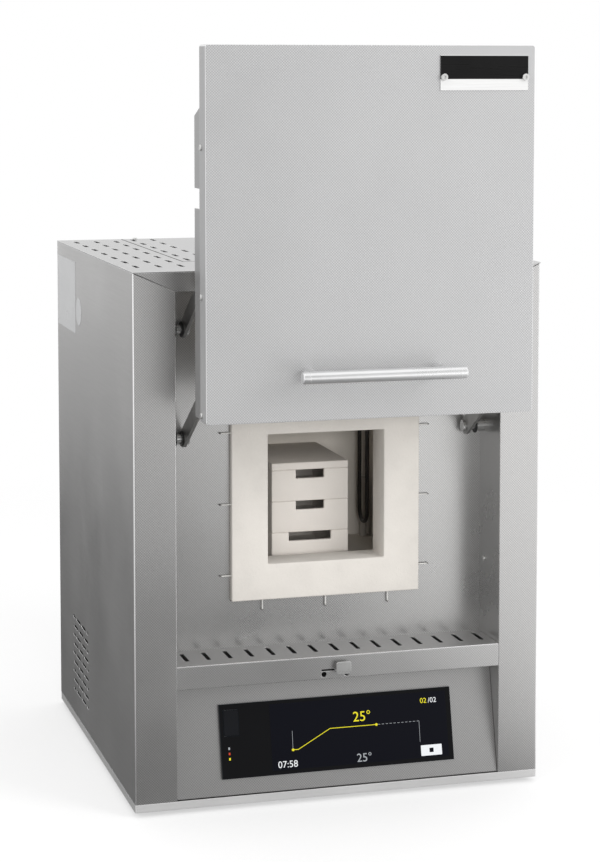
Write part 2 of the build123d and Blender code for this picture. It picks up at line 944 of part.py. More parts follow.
def transformer():
    right = -support_sheet
    left = right - transformer_width
    back = transformer_front + transformer_depth
    high = sheet + transformer_height
    core = block(left, right, transformer_front, back, sheet, high)
    third = transformer_width / 3
    for x in (left + third / 2, right - third):
        core -= block(
            x, x + third / 2, transformer_front - 1, back + 1, sheet + third / 2, high - third / 2)
    coil = block(
        left + third / 2, right - third / 2, transformer_front - coil_bulge, back + coil_bulge,
        sheet + third / 2 + 1, high - third / 2 - 1)
    coil = rounded(
        coil,
        [(x, y, (sheet + high) / 2) for x in (left + third / 2, right - third / 2)
         for y in (transformer_front - coil_bulge, back + coil_bulge)],
        coil_bulge * 0.8)
    return core + coil


def power_regulator():
    left = support_x - support_foot - regulator_width
    front = transformer_front
    back = front + regulator_depth
    base = block(left, left + regulator_width, front, back, sheet, sheet + regulator_base)
    fins = []
    step = regulator_width / regulator_fins
    for index in range(regulator_fins):
        x = left + (index + 0.25) * step
        fins.append(block(
            x, x + step / 2, front, back, sheet + regulator_base, sheet + regulator_base + regulator_fin))
    return base + fins


def fan_frame():
    half = fan_size / 2
    bore = half - fan_bore_gap
    front = rear_face - fan_depth
    frame = block(-half, half, front, rear_face, fan_height - half, fan_height + half)
    frame -= rod_y(bore, front - 1, rear_face + 1, 0, fan_height)
    strut = block(-half, half, front, front + 3, fan_height - 2.5, fan_height + 2.5)
    upright = block(-2.5, 2.5, front, front + 3, fan_height - half, fan_height + half)
    motor = rod_y(fan_hub_radius, front, front + fan_motor_length, 0, fan_height)
    shaft = rod_y(fan_shaft_radius, front, rear_face - 6, 0, fan_height)
    return frame + strut + upright + motor + shaft


def fan_rotor():
    start = rear_face - fan_depth + fan_motor_length + 0.5
    end = rear_face - 5
    hub = rod_y(fan_hub_radius, start, end, 0, 0)
    tip = fan_size / 2 - fan_bore_gap - fan_tip_gap
    depth = end - start - 4
    blade = Pos(0, (start + end) / 2, (fan_hub_radius + tip) / 2)
    blade = blade * Rot(0, 0, 35) * Box(2.0, depth, tip - fan_hub_radius + 4)
    blade &= rod_y(tip, start - 20, end + 20, 0, 0) & block(-tip, tip, start, end, 0, tip)
    blades = [Rot(0, index * 360 / fan_blades, 0) * blade for index in range(fan_blades)]
    rotor = (hub + blades) - rod_y(fan_shaft_radius + running_gap, start - 1, rear_face - 5.5, 0, 0)
    return Pos(0, 0, fan_height) * rotor


def power_inlet():
    half = inlet_width / 2
    tall = inlet_tall / 2
    fit = inlet_flange + seam_gap
    flange = block(
        inlet_x - half, inlet_x + half, case_depth, case_depth + inlet_flange,
        inlet_height - tall, inlet_height + tall)
    body = block(
        inlet_x - half + fit, inlet_x + half - fit, case_depth - inlet_body, case_depth,
        inlet_height - tall + fit, inlet_height + tall - fit)
    inner = inlet_wall + fit
    mouth = block(
        inlet_x - half + inner, inlet_x + half - inner, case_depth - inlet_body + inlet_wall,
        case_depth + inlet_flange + 1, inlet_height - tall + inner, inlet_height + tall - inner)
    pins = []
    for index in (-1, 0, 1):
        x = inlet_x + index * inlet_pin * 2
        pins.append(block(
            x - inlet_pin / 4, x + inlet_pin / 4, case_depth - inlet_body + inlet_wall,
            case_depth + inlet_flange - inlet_free_depth,
            inlet_height - inlet_pin / 2, inlet_height + inlet_pin / 2))
    return (flange + body - mouth) + pins


def rocker_pivot():
    return switch_x, case_depth - 2, inlet_height


def switch_frame():
    half = switch_width / 2
    tall = switch_tall / 2
    fit = inlet_flange + seam_gap
    flange = block(
        switch_x - half, switch_x + half, case_depth, case_depth + inlet_flange / 2,
        inlet_height - tall, inlet_height + tall)
    body = block(
        switch_x - half + fit, switch_x + half - fit, case_depth - 2 * rocker_body, case_depth,
        inlet_height - tall + fit, inlet_height + tall - fit)
    inner = switch_wall + fit - 1
    mouth = block(
        switch_x - half + inner, switch_x + half - inner, case_depth - rocker_body - 4,
        case_depth + inlet_flange + 1, inlet_height - tall + inner, inlet_height + tall - inner)
    _, y, z = rocker_pivot()
    axle = rod_x(1.0, switch_x - half + fit, switch_x + half - fit, y, z)
    return (flange + body - mouth) + axle


def switch_rocker():
    fit = inlet_flange + seam_gap
    inner = switch_wall + fit - 1 + rocker_gap
    half = switch_width / 2 - inner
    tall = switch_tall / 2 - inner - 1
    x, y, z = rocker_pivot()
    lever = block(-half, half, -2.6, 2.6, -tall, tall)
    lever -= rod_x(1.0 + running_gap, -half - 1, half + 1, 0, 0)
    return Pos(x, y, z) * Rot(rocker_tilt, 0, 0) * lever


def recess_screws():
    head = dome_screw(screw_radius, screw_head)
    place = Pos(-recess_half, pivot_setback - recess_screw_shift, shelf_top + recess_screw_rise)
    left = place * Rot(0, 90, 0) * head
    return [left, mirrored(left)]


def side_labels():
    x = -half_width
    back = case_depth - label_rear
    top = case_height - label_top
    label = block(x - label_thickness, x, back - label_length, back, top - label_height, top)
    seal_y = back - label_length - seal_forward
    seal = rod_x(seal_radius, x - label_thickness, x, seal_y, top - label_height * 0.67)
    return [label, seal]


os.makedirs("parts", exist_ok=True)

left_panel = left_side_panel()
save("base_tray", base_tray())
save("feet", feet())
save("left_side_panel", left_panel)
save("right_side_panel", mirrored(left_panel))
save("recess_walls", recess_walls())
save("lintel", lintel())
save("recess_back", recess_back())
save("roof_frame", roof_frame())
save("roof_center_panel", roof_center_panel())
save("rear_panel", rear_panel())
save("panel_screws", panel_screws())
save("recess_screws", recess_screws())
save("side_labels", side_labels())
save("shelf", shelf())
save("air_slider", air_slider())
save("control_fascia", control_fascia())
save("control_glass", control_glass())
save("controller_housing", controller_housing())
save("port_cover", port_cover())

save("pivot_studs", pivot_studs())
save("pivot_rings", pivot_rings())
lower_arm = lift_arm(lower_pivot_height, running_gap)
upper_arm = lift_arm(upper_pivot_height, open_pivot_gap)
save("lift_arm_lower_left", lower_arm)
save("lift_arm_lower_right", mirrored(lift_arm(lower_pivot_height, open_pivot_gap)))
save("lift_arm_upper_left", upper_arm)
save("lift_arm_upper_right", mirrored(upper_arm))
save("door_pan", door_pan())
save("door_brackets", door_brackets())
save("bracket_screws", bracket_screws())
save("door_pins", door_pins())
save("door_cassette", door_cassette())
save("door_filling", door_filling())
save("door_plug", door_plug())
save("handle_bar", handle_bar())
save("handle_posts", handle_posts())
save("badge_plate", badge_plate())
save("badge_screws", badge_screws())

save("fibre_collar", fibre_collar())
save("collar_staples", collar_staples())
save("front_board", front_board())
save("floor_board", floor_board())
save("roof_board", roof_board())
save("side_boards", side_boards())
save("rear_board", rear_board())
save("inner_casing", inner_casing())
save("heating_elements", heating_elements())
save("element_clamps", element_clamps())
save("air_inlet_tube", air_inlet_tube())
save("saggar_lower", saggar(0, low_notch_width))
save("saggar_middle", saggar(1, notch_width))
save("saggar_upper", saggar(2, notch_width))
save("saggar_lid", saggar_lid())
save("thermocouple", thermocouple())

save("casing_supports", casing_supports())
save("transformer", transformer())
save("power_regulator", power_regulator())
save("fan_frame", fan_frame())
save("fan_rotor", fan_rotor())
save("power_inlet", power_inlet())
save("switch_frame", switch_frame())
save("switch_rocker", switch_rocker())
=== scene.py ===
# Looks for a bench-top high-temperature furnace with a lift-up door, built round its CAD frame.
import math

import bmesh
import bpy
from mathutils import Matrix, Vector


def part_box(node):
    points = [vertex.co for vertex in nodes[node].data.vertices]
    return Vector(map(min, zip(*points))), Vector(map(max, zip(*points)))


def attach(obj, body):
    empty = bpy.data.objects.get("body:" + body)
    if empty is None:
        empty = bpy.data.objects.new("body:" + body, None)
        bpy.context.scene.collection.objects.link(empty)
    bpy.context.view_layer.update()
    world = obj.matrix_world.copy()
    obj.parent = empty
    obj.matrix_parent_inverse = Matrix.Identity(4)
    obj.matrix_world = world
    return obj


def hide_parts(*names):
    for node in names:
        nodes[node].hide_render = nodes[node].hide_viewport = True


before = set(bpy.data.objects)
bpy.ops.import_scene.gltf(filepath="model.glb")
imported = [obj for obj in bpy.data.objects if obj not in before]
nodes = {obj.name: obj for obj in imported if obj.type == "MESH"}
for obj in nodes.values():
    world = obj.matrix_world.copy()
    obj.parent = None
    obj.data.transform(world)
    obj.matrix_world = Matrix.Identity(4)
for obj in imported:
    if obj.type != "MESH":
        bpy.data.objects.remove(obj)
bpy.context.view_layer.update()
print("frame loaded with", len(nodes), "nodes")


# node tree helpers

def put(tree, kind, inputs=None, **settings):
    node = tree.nodes.new("ShaderNode" + kind)
    for key, value in settings.items():
        setattr(node, key, value)
    for key, value in (inputs or {}).items():
        if isinstance(value, bpy.types.NodeSocket):
            tree.links.new(value, node.inputs[key])
        else:
            node.inputs[key].default_value = value
    return node


def calc(tree, operation, first, second=0.0, third=0.0, clamp=False):
    node = put(tree, "Math", {0: first, 1: second, 2: third}, operation=operation, use_clamp=clamp)
    return node.outputs[0]


def blendColour(tree, factor, first, second, kind="MIX"):
    node = put(tree, "Mix", data_type="RGBA", blend_type=kind)
    for index, value in ((0, factor), (6, first), (7, second)):
        if isinstance(value, bpy.types.NodeSocket):
            tree.links.new(value, node.inputs[index])
        else:
            node.inputs[index].default_value = value
    return node.outputs[2]


def ramp(tree, factor, stops):
    node = put(tree, "ValToRGB", {"Fac": factor})
    node.color_ramp.elements[0].position = stops[0][0]
    node.color_ramp.elements[0].color = (*stops[0][1], 1)
    node.color_ramp.elements[1].position = stops[-1][0]
    node.color_ramp.elements[1].color = (*stops[-1][1], 1)
    for place, colour in stops[1:-1]:
        node.color_ramp.elements.new(place).color = (*colour, 1)
    return node.outputs["Color"]


def newGroup(name, inputs, outputs):
    group = bpy.data.node_groups.new(name, "ShaderNodeTree")
    for label, kind, value in inputs:
        socket = group.interface.new_socket(name=label, in_out="INPUT", socket_type=kind)
        socket.default_value = value
    for label, kind in outputs:
        group.interface.new_socket(name=label, in_out="OUTPUT", socket_type=kind)
    return group, group.nodes.new("NodeGroupInput").outputs, group.nodes.new("NodeGroupOutput").inputs


def useGroup(tree, group, **inputs):
    node = tree.nodes.new("ShaderNodeGroup")
    node.node_tree = group
    for key, value in inputs.items():
        label = "".join(" " + c.lower() if c.isupper() else c for c in key).capitalize()
        if isinstance(value, bpy.types.NodeSocket):
            tree.links.new(value, node.inputs[label])
        else:
            node.inputs[label].default_value = value
    return node.outputs


# effects that several finishes share

def makeLinenEmboss():
    # small diamonds rolled into the front sheets, only on faces that look to the front or back
    group, ins, outs = newGroup(
        "linenEmboss",
        [("Pitch", "NodeSocketFloat", 0.0024), ("Unevenness", "NodeSocketFloat", 0.25)],
        [("Height", "NodeSocketFloat")])
    place = put(group, "TexCoord").outputs["Object"]
    axes = put(group, "SeparateXYZ", {0: place}).outputs
    turns = calc(group, "DIVIDE", 2 * math.pi, ins["Pitch"])
    across = calc(group, "SINE", calc(group, "MULTIPLY", axes[0], turns))
    upward = calc(group, "SINE", calc(group, "MULTIPLY", axes[2], turns))
    weave = calc(group, "MULTIPLY", across, upward)
    cloud = put(group, "TexNoise", {"Vector": place, "Scale": 60.0, "Detail": 3.0}).outputs["Fac"]
    strength = calc(group, "SUBTRACT", 1.0, calc(group, "MULTIPLY", cloud, ins["Unevenness"]))
    way = put(group, "SeparateXYZ", {0: put(group, "NewGeometry").outputs["True Normal"]}).outputs
    facing = calc(group, "GREATER_THAN", calc(group, "ABSOLUTE", way[1]), 0.9)
    height = calc(group, "MULTIPLY", calc(group, "MULTIPLY", weave, strength), facing)
    group.links.new(calc(group, "MULTIPLY_ADD", height, 0.5, 0.5), outs["Height"])
    return group


def makeSatinGrain():
    # fine drawn lines and faint clouds, as rolled sheet has
    group, ins, outs = newGroup(
        "satinGrain",
        [("Stretch", "NodeSocketVector", (700.0, 700.0, 14.0)), ("Cloud scale", "NodeSocketFloat", 7.0)],
        [("Lines", "NodeSocketFloat"), ("Clouds", "NodeSocketFloat")])
    place = put(group, "TexCoord").outputs["Object"]
    drawn = put(group, "VectorMath", {0: place, 1: ins["Stretch"]}, operation="MULTIPLY").outputs[0]
    lines = put(group, "TexNoise", {"Vector": drawn, "Scale": 1.0, "Detail": 4.0, "Roughness": 0.6})
    clouds = put(group, "TexNoise", {"Vector": place, "Scale": ins["Cloud scale"], "Detail": 5.0, "Roughness": 0.55})
    group.links.new(lines.outputs["Fac"], outs["Lines"])
    group.links.new(clouds.outputs["Fac"], outs["Clouds"])
    return group


def makePaintedHighlight():
    # painted highlight: a lighter colour along edges and folds, broken up by noise; and the small rounding that light
    # picks up along a fold
    group, ins, outs = newGroup(
        "paintedHighlight",
        [("Radius", "NodeSocketFloat", 0.0008), ("Breakup", "NodeSocketFloat", 0.5),
         ("Bends", "NodeSocketFloat", 0.0)],
        [("Edge", "NodeSocketFloat"), ("Rounded", "NodeSocketVector")])
    soft = put(group, "Bevel", {"Radius": ins["Radius"]}, samples=6).outputs[0]
    true = put(group, "NewGeometry").outputs["Normal"]
    match = put(group, "VectorMath", {0: soft, 1: true}, operation="DOT_PRODUCT").outputs["Value"]
    highlightMask = put(group, "MapRange", {"Value": match, "From Min": 0.985, "From Max": 0.86}).outputs[0]
    # folds, where the normal lies between the axes, get the painted highlight too, as much as Bends asks
    way = put(group, "SeparateXYZ", {0: put(group, "VectorMath", {0: true}, operation="ABSOLUTE").outputs[0]}).outputs
    squarest = calc(group, "MAXIMUM", calc(group, "MAXIMUM", way[0], way[1]), way[2])
    foldHighlight = put(group, "MapRange", {"Value": squarest, "From Min": 0.965, "From Max": 0.85}).outputs[0]
    foldHighlight = calc(group, "MULTIPLY", foldHighlight, ins["Bends"])
    highlightMask = calc(group, "MAXIMUM", highlightMask, foldHighlight)
    place = put(group, "TexCoord").outputs["Object"]
    broken = put(group, "TexNoise", {"Vector": place, "Scale": 90.0, "Detail": 3.0}).outputs["Fac"]
    keep = calc(group, "SUBTRACT", 1.0, calc(group, "MULTIPLY", broken, ins["Breakup"]))
    group.links.new(calc(group, "MULTIPLY", highlightMask, keep, clamp=True), outs["Edge"])
    group.links.new(soft, outs["Rounded"])
    return group


def makeSettledDust():
    # a little dust on what faces up, thicker in patches
    group, ins, outs = newGroup(
        "settledDust",
        [("Amount", "NodeSocketFloat", 0.15), ("Patch scale", "NodeSocketFloat", 35.0)],
        [("Dust", "NodeSocketFloat")])
    up = put(group, "SeparateXYZ", {0: put(group, "NewGeometry").outputs["Normal"]}).outputs[2]
    facing = put(group, "MapRange", {"Value": up, "From Min": 0.35, "From Max": 0.95}).outputs[0]
    place = put(group, "TexCoord").outputs["Object"]
    patch = put(group, "TexNoise", {"Vector": place, "Scale": ins["Patch scale"], "Detail": 6.0}).outputs["Fac"]
    dust = calc(group, "MULTIPLY", calc(group, "MULTIPLY", facing, patch), ins["Amount"], clamp=True)
    group.links.new(dust, outs["Dust"])
    return group


def makeFibreSurface():
    # pressed ceramic fibre or fired ceramic: soft lumps, short fibres and a few pits
    group, ins, outs = newGroup(
        "fibreSurface",
        [("Fibre scale", "NodeSocketFloat", 420.0), ("Lump scale", "NodeSocketFloat", 45.0),
         ("Pits", "NodeSocketFloat", 0.5)],
        [("Height", "NodeSocketFloat"), ("Tone", "NodeSocketFloat")])
    place = put(group, "TexCoord").outputs["Object"]
    bent = put(group, "TexNoise", {"Vector": place, "Scale": 120.0, "Detail": 2.0}).outputs["Color"]
    swirl = put(group, "VectorMath", {0: bent, "Scale": 0.006}, operation="SCALE").outputs[0]
    moved = put(group, "VectorMath", {0: place, 1: swirl}, operation="ADD").outputs[0]
    fibres = put(group, "TexNoise", {
        "Vector": moved, "Scale": ins["Fibre scale"], "Detail": 6.0, "Roughness": 0.7}).outputs["Fac"]
    lumps = put(group, "TexNoise", {"Vector": place, "Scale": ins["Lump scale"], "Detail": 3.0}).outputs["Fac"]
    cells = put(group, "TexVoronoi", {"Vector": moved, "Scale": 260.0}).outputs["Distance"]
    pits = put(group, "MapRange", {"Value": cells, "From Min": 0.05, "From Max": 0.3}).outputs[0]
    pitted = calc(group, "MULTIPLY", calc(group, "SUBTRACT", pits, 1.0), ins["Pits"])
    height = calc(group, "ADD", calc(group, "MULTIPLY_ADD", fibres, 0.6, calc(group, "MULTIPLY", lumps, 0.4)), pitted)
    group.links.new(height, outs["Height"])
    group.links.new(calc(group, "MULTIPLY_ADD", fibres, 0.35, calc(group, "MULTIPLY", lumps, 0.65)), outs["Tone"])
    return group


linenEmboss = makeLinenEmboss()
satinGrain = makeSatinGrain()
paintedHighlight = makePaintedHighlight()
settledDust = makeSettledDust()
fibreSurface = makeFibreSurface()
print("shared effects made")


# finishes

def shade(tone, amount):
    return tuple(min(1.0, channel * amount) for channel in tone)


shaderLabel = {
    "metallic": "Metallic", "specular": "Specular IOR Level", "sheen": "Sheen Weight",
    "emission": "Emission Strength",
}


def newFinish(name, **fixed):
    finish = bpy.data.materials.new(name)
    finish.use_nodes = True
    tree = finish.node_tree
    shader = tree.nodes["Principled BSDF"]
    for key, value in fixed.items():
        shader.inputs[shaderLabel[key]].default_value = value
    return finish, tree, shader


def sheetFinish(name, look):
    finish, tree, shader = newFinish(name, metallic=look["metallic"])
    grain = useGroup(tree, satinGrain, stretch=look["stretch"], cloudScale=look["cloudScale"])
    edge = useGroup(tree, paintedHighlight, radius=look["edgeRadius"], breakup=0.3, bends=look["bends"])
    dust = useGroup(tree, settledDust, amount=look["dust"], patchScale=40.0)
    colour = ramp(tree, grain["Clouds"], [
        (0.3, shade(look["tone"], 1 - look["drift"])), (0.7, shade(look["tone"], 1 + look["drift"]))])
    lineTone = put(tree, "MapRange", {
        "Value": grain["Lines"], "From Min": 0.3, "From Max": 0.7,
        "To Min": 1 - look["lineContrast"], "To Max": 1 + look["lineContrast"]}).outputs[0]
    colour = blendColour(tree, 1.0, colour, lineTone, "MULTIPLY")
    height = calc(tree, "MULTIPLY", grain["Lines"], look["lineHeight"])
    if look["linen"]:
        weave = useGroup(tree, linenEmboss, pitch=look["pitch"], unevenness=0.3)
        weaveTone = put(tree, "MapRange", {
            "Value": weave["Height"], "To Min": 1 - look["linen"], "To Max": 1 + look["linen"]}).outputs[0]
        colour = blendColour(tree, 1.0, colour, weaveTone, "MULTIPLY")
        height = calc(tree, "MULTIPLY_ADD", weave["Height"], look["linenHeight"], height)
    # painted highlight: a lighter tone along edges and folds
    colour = blendColour(tree, edge["Edge"], colour, (*shade(look["tone"], look["highlightLevel"]), 1))
    colour = blendColour(tree, dust["Dust"], colour, (0.62, 0.61, 0.59, 1))
    rough = put(tree, "MapRange", {
        "Value": grain["Clouds"], "From Min": 0.3, "From Max": 0.7,
        "To Min": look["roughness"] - 0.05, "To Max": look["roughness"] + 0.05}).outputs[0]
    rough = calc(tree, "SUBTRACT", rough, calc(tree, "MULTIPLY", edge["Edge"], 0.12))
    rough = calc(tree, "ADD", rough, calc(tree, "MULTIPLY", dust["Dust"], 0.3), clamp=True)
    bump = put(tree, "Bump", {"Strength": 1.0, "Distance": 0.001, "Height": height, "Normal": edge["Rounded"]})
    tree.links.new(colour, shader.inputs["Base Color"])
    tree.links.new(rough, shader.inputs["Roughness"])
    tree.links.new(bump.outputs[0], shader.inputs["Normal"])
    return finish


sheetLook = {
    "tone": (0.40, 0.396, 0.392), "roughness": 0.36, "drift": 0.05, "stretch": (500.0, 500.0, 500.0),
    "cloudScale": 7.0, "lineContrast": 0.03, "lineHeight": 0.02, "linen": 0.0, "linenHeight": 0.0,
    "pitch": 0.0024, "edgeRadius": 0.0008, "highlightLevel": 1.8, "bends": 1.0, "dust": 0.04, "metallic": 0.92,
}
# the cabinet's sheets, door to inner casing, are one steel; their tones are set part by part, lighter and darker, as
# painted light and shade, the tray lightest as painted light
doorSteel = sheetFinish("doorSteel", {
    **sheetLook, "tone": (0.525, 0.525, 0.528), "metallic": 0.6, "roughness": 0.48, "linen": 0.3,
    "linenHeight": 0.02, "highlightLevel": 1.7})
frontSteel = sheetFinish("frontSteel", {
    **sheetLook, "tone": (0.52, 0.516, 0.512), "linen": 0.3, "roughness": 0.34})
fasciaSteel = sheetFinish("fasciaSteel", {
    **sheetLook, "tone": (0.37, 0.367, 0.364), "linen": 0.3, "roughness": 0.34})
recessSteel = sheetFinish("recessSteel", {
    **sheetLook, "tone": (0.57, 0.566, 0.56), "linen": 0.28, "roughness": 0.3, "lineHeight": 0.0, "bends": 0.0})
shelfSteel = sheetFinish("shelfSteel", {
    **sheetLook, "tone": (0.58, 0.576, 0.572), "linen": 0.24, "roughness": 0.32, "highlightLevel": 2.1})
traySteel = sheetFinish("traySteel", {
    **sheetLook, "tone": (0.66, 0.657, 0.654), "metallic": 0.45, "roughness": 0.45, "highlightLevel": 1.3,
    "stretch": (20.0, 600.0, 600.0)})
sideSteel = sheetFinish("sideSteel", {
    **sheetLook, "tone": (0.57, 0.565, 0.56), "linen": 0.3, "roughness": 0.33, "stretch": (600.0, 20.0, 600.0)})
roofSteel = sheetFinish("roofSteel", {
    **sheetLook, "tone": (0.52, 0.52, 0.52), "roughness": 0.34, "stretch": (20.0, 600.0, 600.0), "dust": 0.12})
bracketSteel = sheetFinish("bracketSteel", {**sheetLook, "tone": (0.42, 0.42, 0.42), "roughness": 0.33})
innerSteel = sheetFinish("innerSteel", {
    **sheetLook, "tone": (0.36, 0.355, 0.345), "roughness": 0.42, "dust": 0.3, "stretch": (20.0, 600.0, 600.0)})
armSteel = sheetFinish("armSteel", {
    **sheetLook, "bends": 0.0, "tone": (0.43, 0.427, 0.42), "roughness": 0.38, "lineContrast": 0.12,
    "lineHeight": 0.05, "stretch": (900.0, 60.0, 60.0), "edgeRadius": 0.0005, "highlightLevel": 2.0})
boltSteel = sheetFinish("boltSteel", {
    **sheetLook, "bends": 0.0, "tone": (0.70, 0.70, 0.69), "roughness": 0.22, "lineContrast": 0.06,
    "stretch": (60.0, 900.0, 900.0), "edgeRadius": 0.0003, "highlightLevel": 1.3})
handleSteel = sheetFinish("handleSteel", {
    **sheetLook, "bends": 0.0, "tone": (0.92, 0.922, 0.925), "roughness": 0.3, "lineContrast": 0.05,
    "lineHeight": 0.03, "stretch": (25.0, 1400.0, 1400.0), "edgeRadius": 0.0005, "highlightLevel": 1.2, "dust": 0.0})
ringSteel = sheetFinish("ringSteel", {
    **sheetLook, "bends": 0.0, "tone": (0.03, 0.03, 0.03), "metallic": 0.4, "roughness": 0.4,
    "edgeRadius": 0.0002, "highlightLevel": 3.0})
heatSinkMetal = sheetFinish("heatSinkMetal", {
    **sheetLook, "tone": (0.30, 0.305, 0.31), "roughness": 0.4, "stretch": (600.0, 15.0, 600.0), "dust": 0.3})


def fibreFinish(name, look):
    finish, tree, shader = newFinish(name, specular=0.25, sheen=0.08)
    surface = useGroup(
        tree, fibreSurface, fibreScale=look["fibreScale"], lumpScale=look["lumpScale"], pits=look["pits"])
    edge = useGroup(tree, paintedHighlight, radius=look["edgeRadius"], breakup=0.8)
    dust = useGroup(tree, settledDust, amount=0.25, patchScale=60.0)
    colour = ramp(tree, surface["Tone"], [
        (0.3, shade(look["tone"], 1 - look["drift"])), (0.5, look["tone"]),
        (0.7, shade(look["tone"], 1 + look["drift"] * 0.6))])
    if look["backTone"]:
        # a warmer, darker tone, stronger further back in the chamber
        place = put(tree, "SeparateXYZ", {0: put(tree, "TexCoord").outputs["Object"]}).outputs
        deep = put(tree, "MapRange", {
            "Value": place[1], "From Min": -0.06, "From Max": 0.05, "To Max": look["backShare"]}).outputs[0]
        colour = blendColour(tree, deep, colour, (*look["backTone"], 1))
    # a faint painted highlight along the fibre's edges
    colour = blendColour(tree, calc(tree, "MULTIPLY", edge["Edge"], 0.3), colour, (*shade(look["tone"], 1.08), 1))
    colour = blendColour(tree, dust["Dust"], colour, (*shade(look["tone"], 1.05), 1))
    rough = put(tree, "MapRange", {
        "Value": surface["Tone"], "From Min": 0.3, "From Max": 0.7, "To Min": 0.8, "To Max": 0.96}).outputs[0]
    bump = put(tree, "Bump", {
        "Strength": 0.8, "Distance": look["depth"], "Height": surface["Height"], "Normal": edge["Rounded"]})
    tree.links.new(colour, shader.inputs["Base Color"])
    tree.links.new(rough, shader.inputs["Roughness"])
    tree.links.new(bump.outputs[0], shader.inputs["Normal"])
    return finish


fibreLook = {
    "tone": (0.645, 0.614, 0.572), "drift": 0.06, "fibreScale": 420.0, "lumpScale": 45.0, "pits": 0.25,
    "edgeRadius": 0.0012, "depth": 0.0004, "backTone": None, "backShare": 0.0,
}
collarFibre = fibreFinish("collarFibre", fibreLook)
chamberFibre = fibreFinish("chamberFibre", {
    **fibreLook, "tone": (0.76, 0.725, 0.675), "drift": 0.1, "backTone": (0.66, 0.615, 0.55), "backShare": 0.7})
plugFibre = fibreFinish("plugFibre", {**fibreLook, "tone": (0.66, 0.625, 0.575), "drift": 0.08})
firedCeramic = fibreFinish("firedCeramic", {
    **fibreLook, "tone": (0.72, 0.68, 0.635), "fibreScale": 700.0, "lumpScale": 25.0, "pits": 0.15, "depth": 0.0002,
    "drift": 0.05, "edgeRadius": 0.0009})
tubeCeramic = fibreFinish("tubeCeramic", {
    **fibreLook, "tone": (0.42, 0.39, 0.35), "fibreScale": 500.0, "pits": 0.2, "depth": 0.0002, "edgeRadius": 0.0005})


def mouldedFinish(name, look):
    finish, tree, shader = newFinish(name, specular=look["specular"])
    surface = useGroup(tree, fibreSurface, fibreScale=look["grainScale"], lumpScale=30.0, pits=look["pits"])
    edge = useGroup(tree, paintedHighlight, radius=look["edgeRadius"], breakup=0.6)
    dust = useGroup(tree, settledDust, amount=look["dust"], patchScale=50.0)
    colour = ramp(tree, surface["Tone"], [
        (0.3, shade(look["tone"], 1 - look["drift"])), (0.7, shade(look["tone"], 1 + look["drift"]))])
    # painted highlight along edges, in the highlight tone
    colour = blendColour(tree, calc(tree, "MULTIPLY", edge["Edge"], look["highlightMix"]), colour, (*look["highlightTone"], 1))
    colour = blendColour(tree, dust["Dust"], colour, (0.5, 0.49, 0.47, 1))
    rough = put(tree, "MapRange", {
        "Value": surface["Tone"], "From Min": 0.3, "From Max": 0.7,
        "To Min": look["roughness"] * 0.8, "To Max": look["roughness"] * 1.2}).outputs[0]
    rough = calc(tree, "ADD", rough, calc(tree, "MULTIPLY", dust["Dust"], 0.3), clamp=True)
    bump = put(tree, "Bump", {
        "Strength": 0.6, "Distance": look["depth"], "Height": surface["Height"], "Normal": edge["Rounded"]})
    tree.links.new(colour, shader.inputs["Base Color"])
    tree.links.new(rough, shader.inputs["Roughness"])
    tree.links.new(bump.outputs[0], shader.inputs["Normal"])
    return finish


mouldedLook = {
    "tone": (0.018, 0.018, 0.019), "drift": 0.15, "grainScale": 900.0, "pits": 0.3, "depth": 0.0001,
    "roughness": 0.45, "specular": 0.4, "edgeRadius": 0.0004, "highlightMix": 0.4, "highlightTone": (0.08, 0.08, 0.085),
    "dust": 0.08,
}
blackPlastic = mouldedFinish("blackPlastic", mouldedLook)
coverPlastic = mouldedFinish("coverPlastic", {
    **mouldedLook, "tone": (0.006, 0.0065, 0.008), "roughness": 0.35, "specular": 0.12, "dust": 0.0,
    "highlightTone": (0.03, 0.034, 0.04)})
footRubber = mouldedFinish("footRubber", {
    **mouldedLook, "tone": (0.022, 0.022, 0.022), "roughness": 0.75, "specular": 0.25, "depth": 0.0003,
    "dust": 0.15})
panelGlass = mouldedFinish("panelGlass", {
    **mouldedLook, "tone": (0.0035, 0.0036, 0.0042), "drift": 0.05, "grainScale": 60.0, "pits": 0.0,
    "depth": 0.000002, "roughness": 0.07, "specular": 0.09, "edgeRadius": 0.0006, "highlightMix": 0.7,
    "highlightTone": (0.03, 0.045, 0.06), "dust": 0.0})
elementDark = mouldedFinish("elementDark", {
    **mouldedLook, "tone": (0.022, 0.019, 0.016), "drift": 0.4, "grainScale": 300.0, "pits": 0.2,
    "depth": 0.0002, "roughness": 0.38, "highlightTone": (0.06, 0.05, 0.04), "dust": 0.2})
coilPack = mouldedFinish("coilPack", {
    **mouldedLook, "tone": (0.12, 0.055, 0.022), "drift": 0.2, "grainScale": 200.0, "roughness": 0.35,
    "highlightTone": (0.3, 0.14, 0.06), "dust": 0.25})
labelFilm = mouldedFinish("labelFilm", {
    **mouldedLook, "tone": (0.60, 0.605, 0.61), "drift": 0.03, "grainScale": 120.0, "pits": 0.0,
    "depth": 0.00003, "roughness": 0.32, "highlightTone": (0.8, 0.8, 0.8), "dust": 0.0})


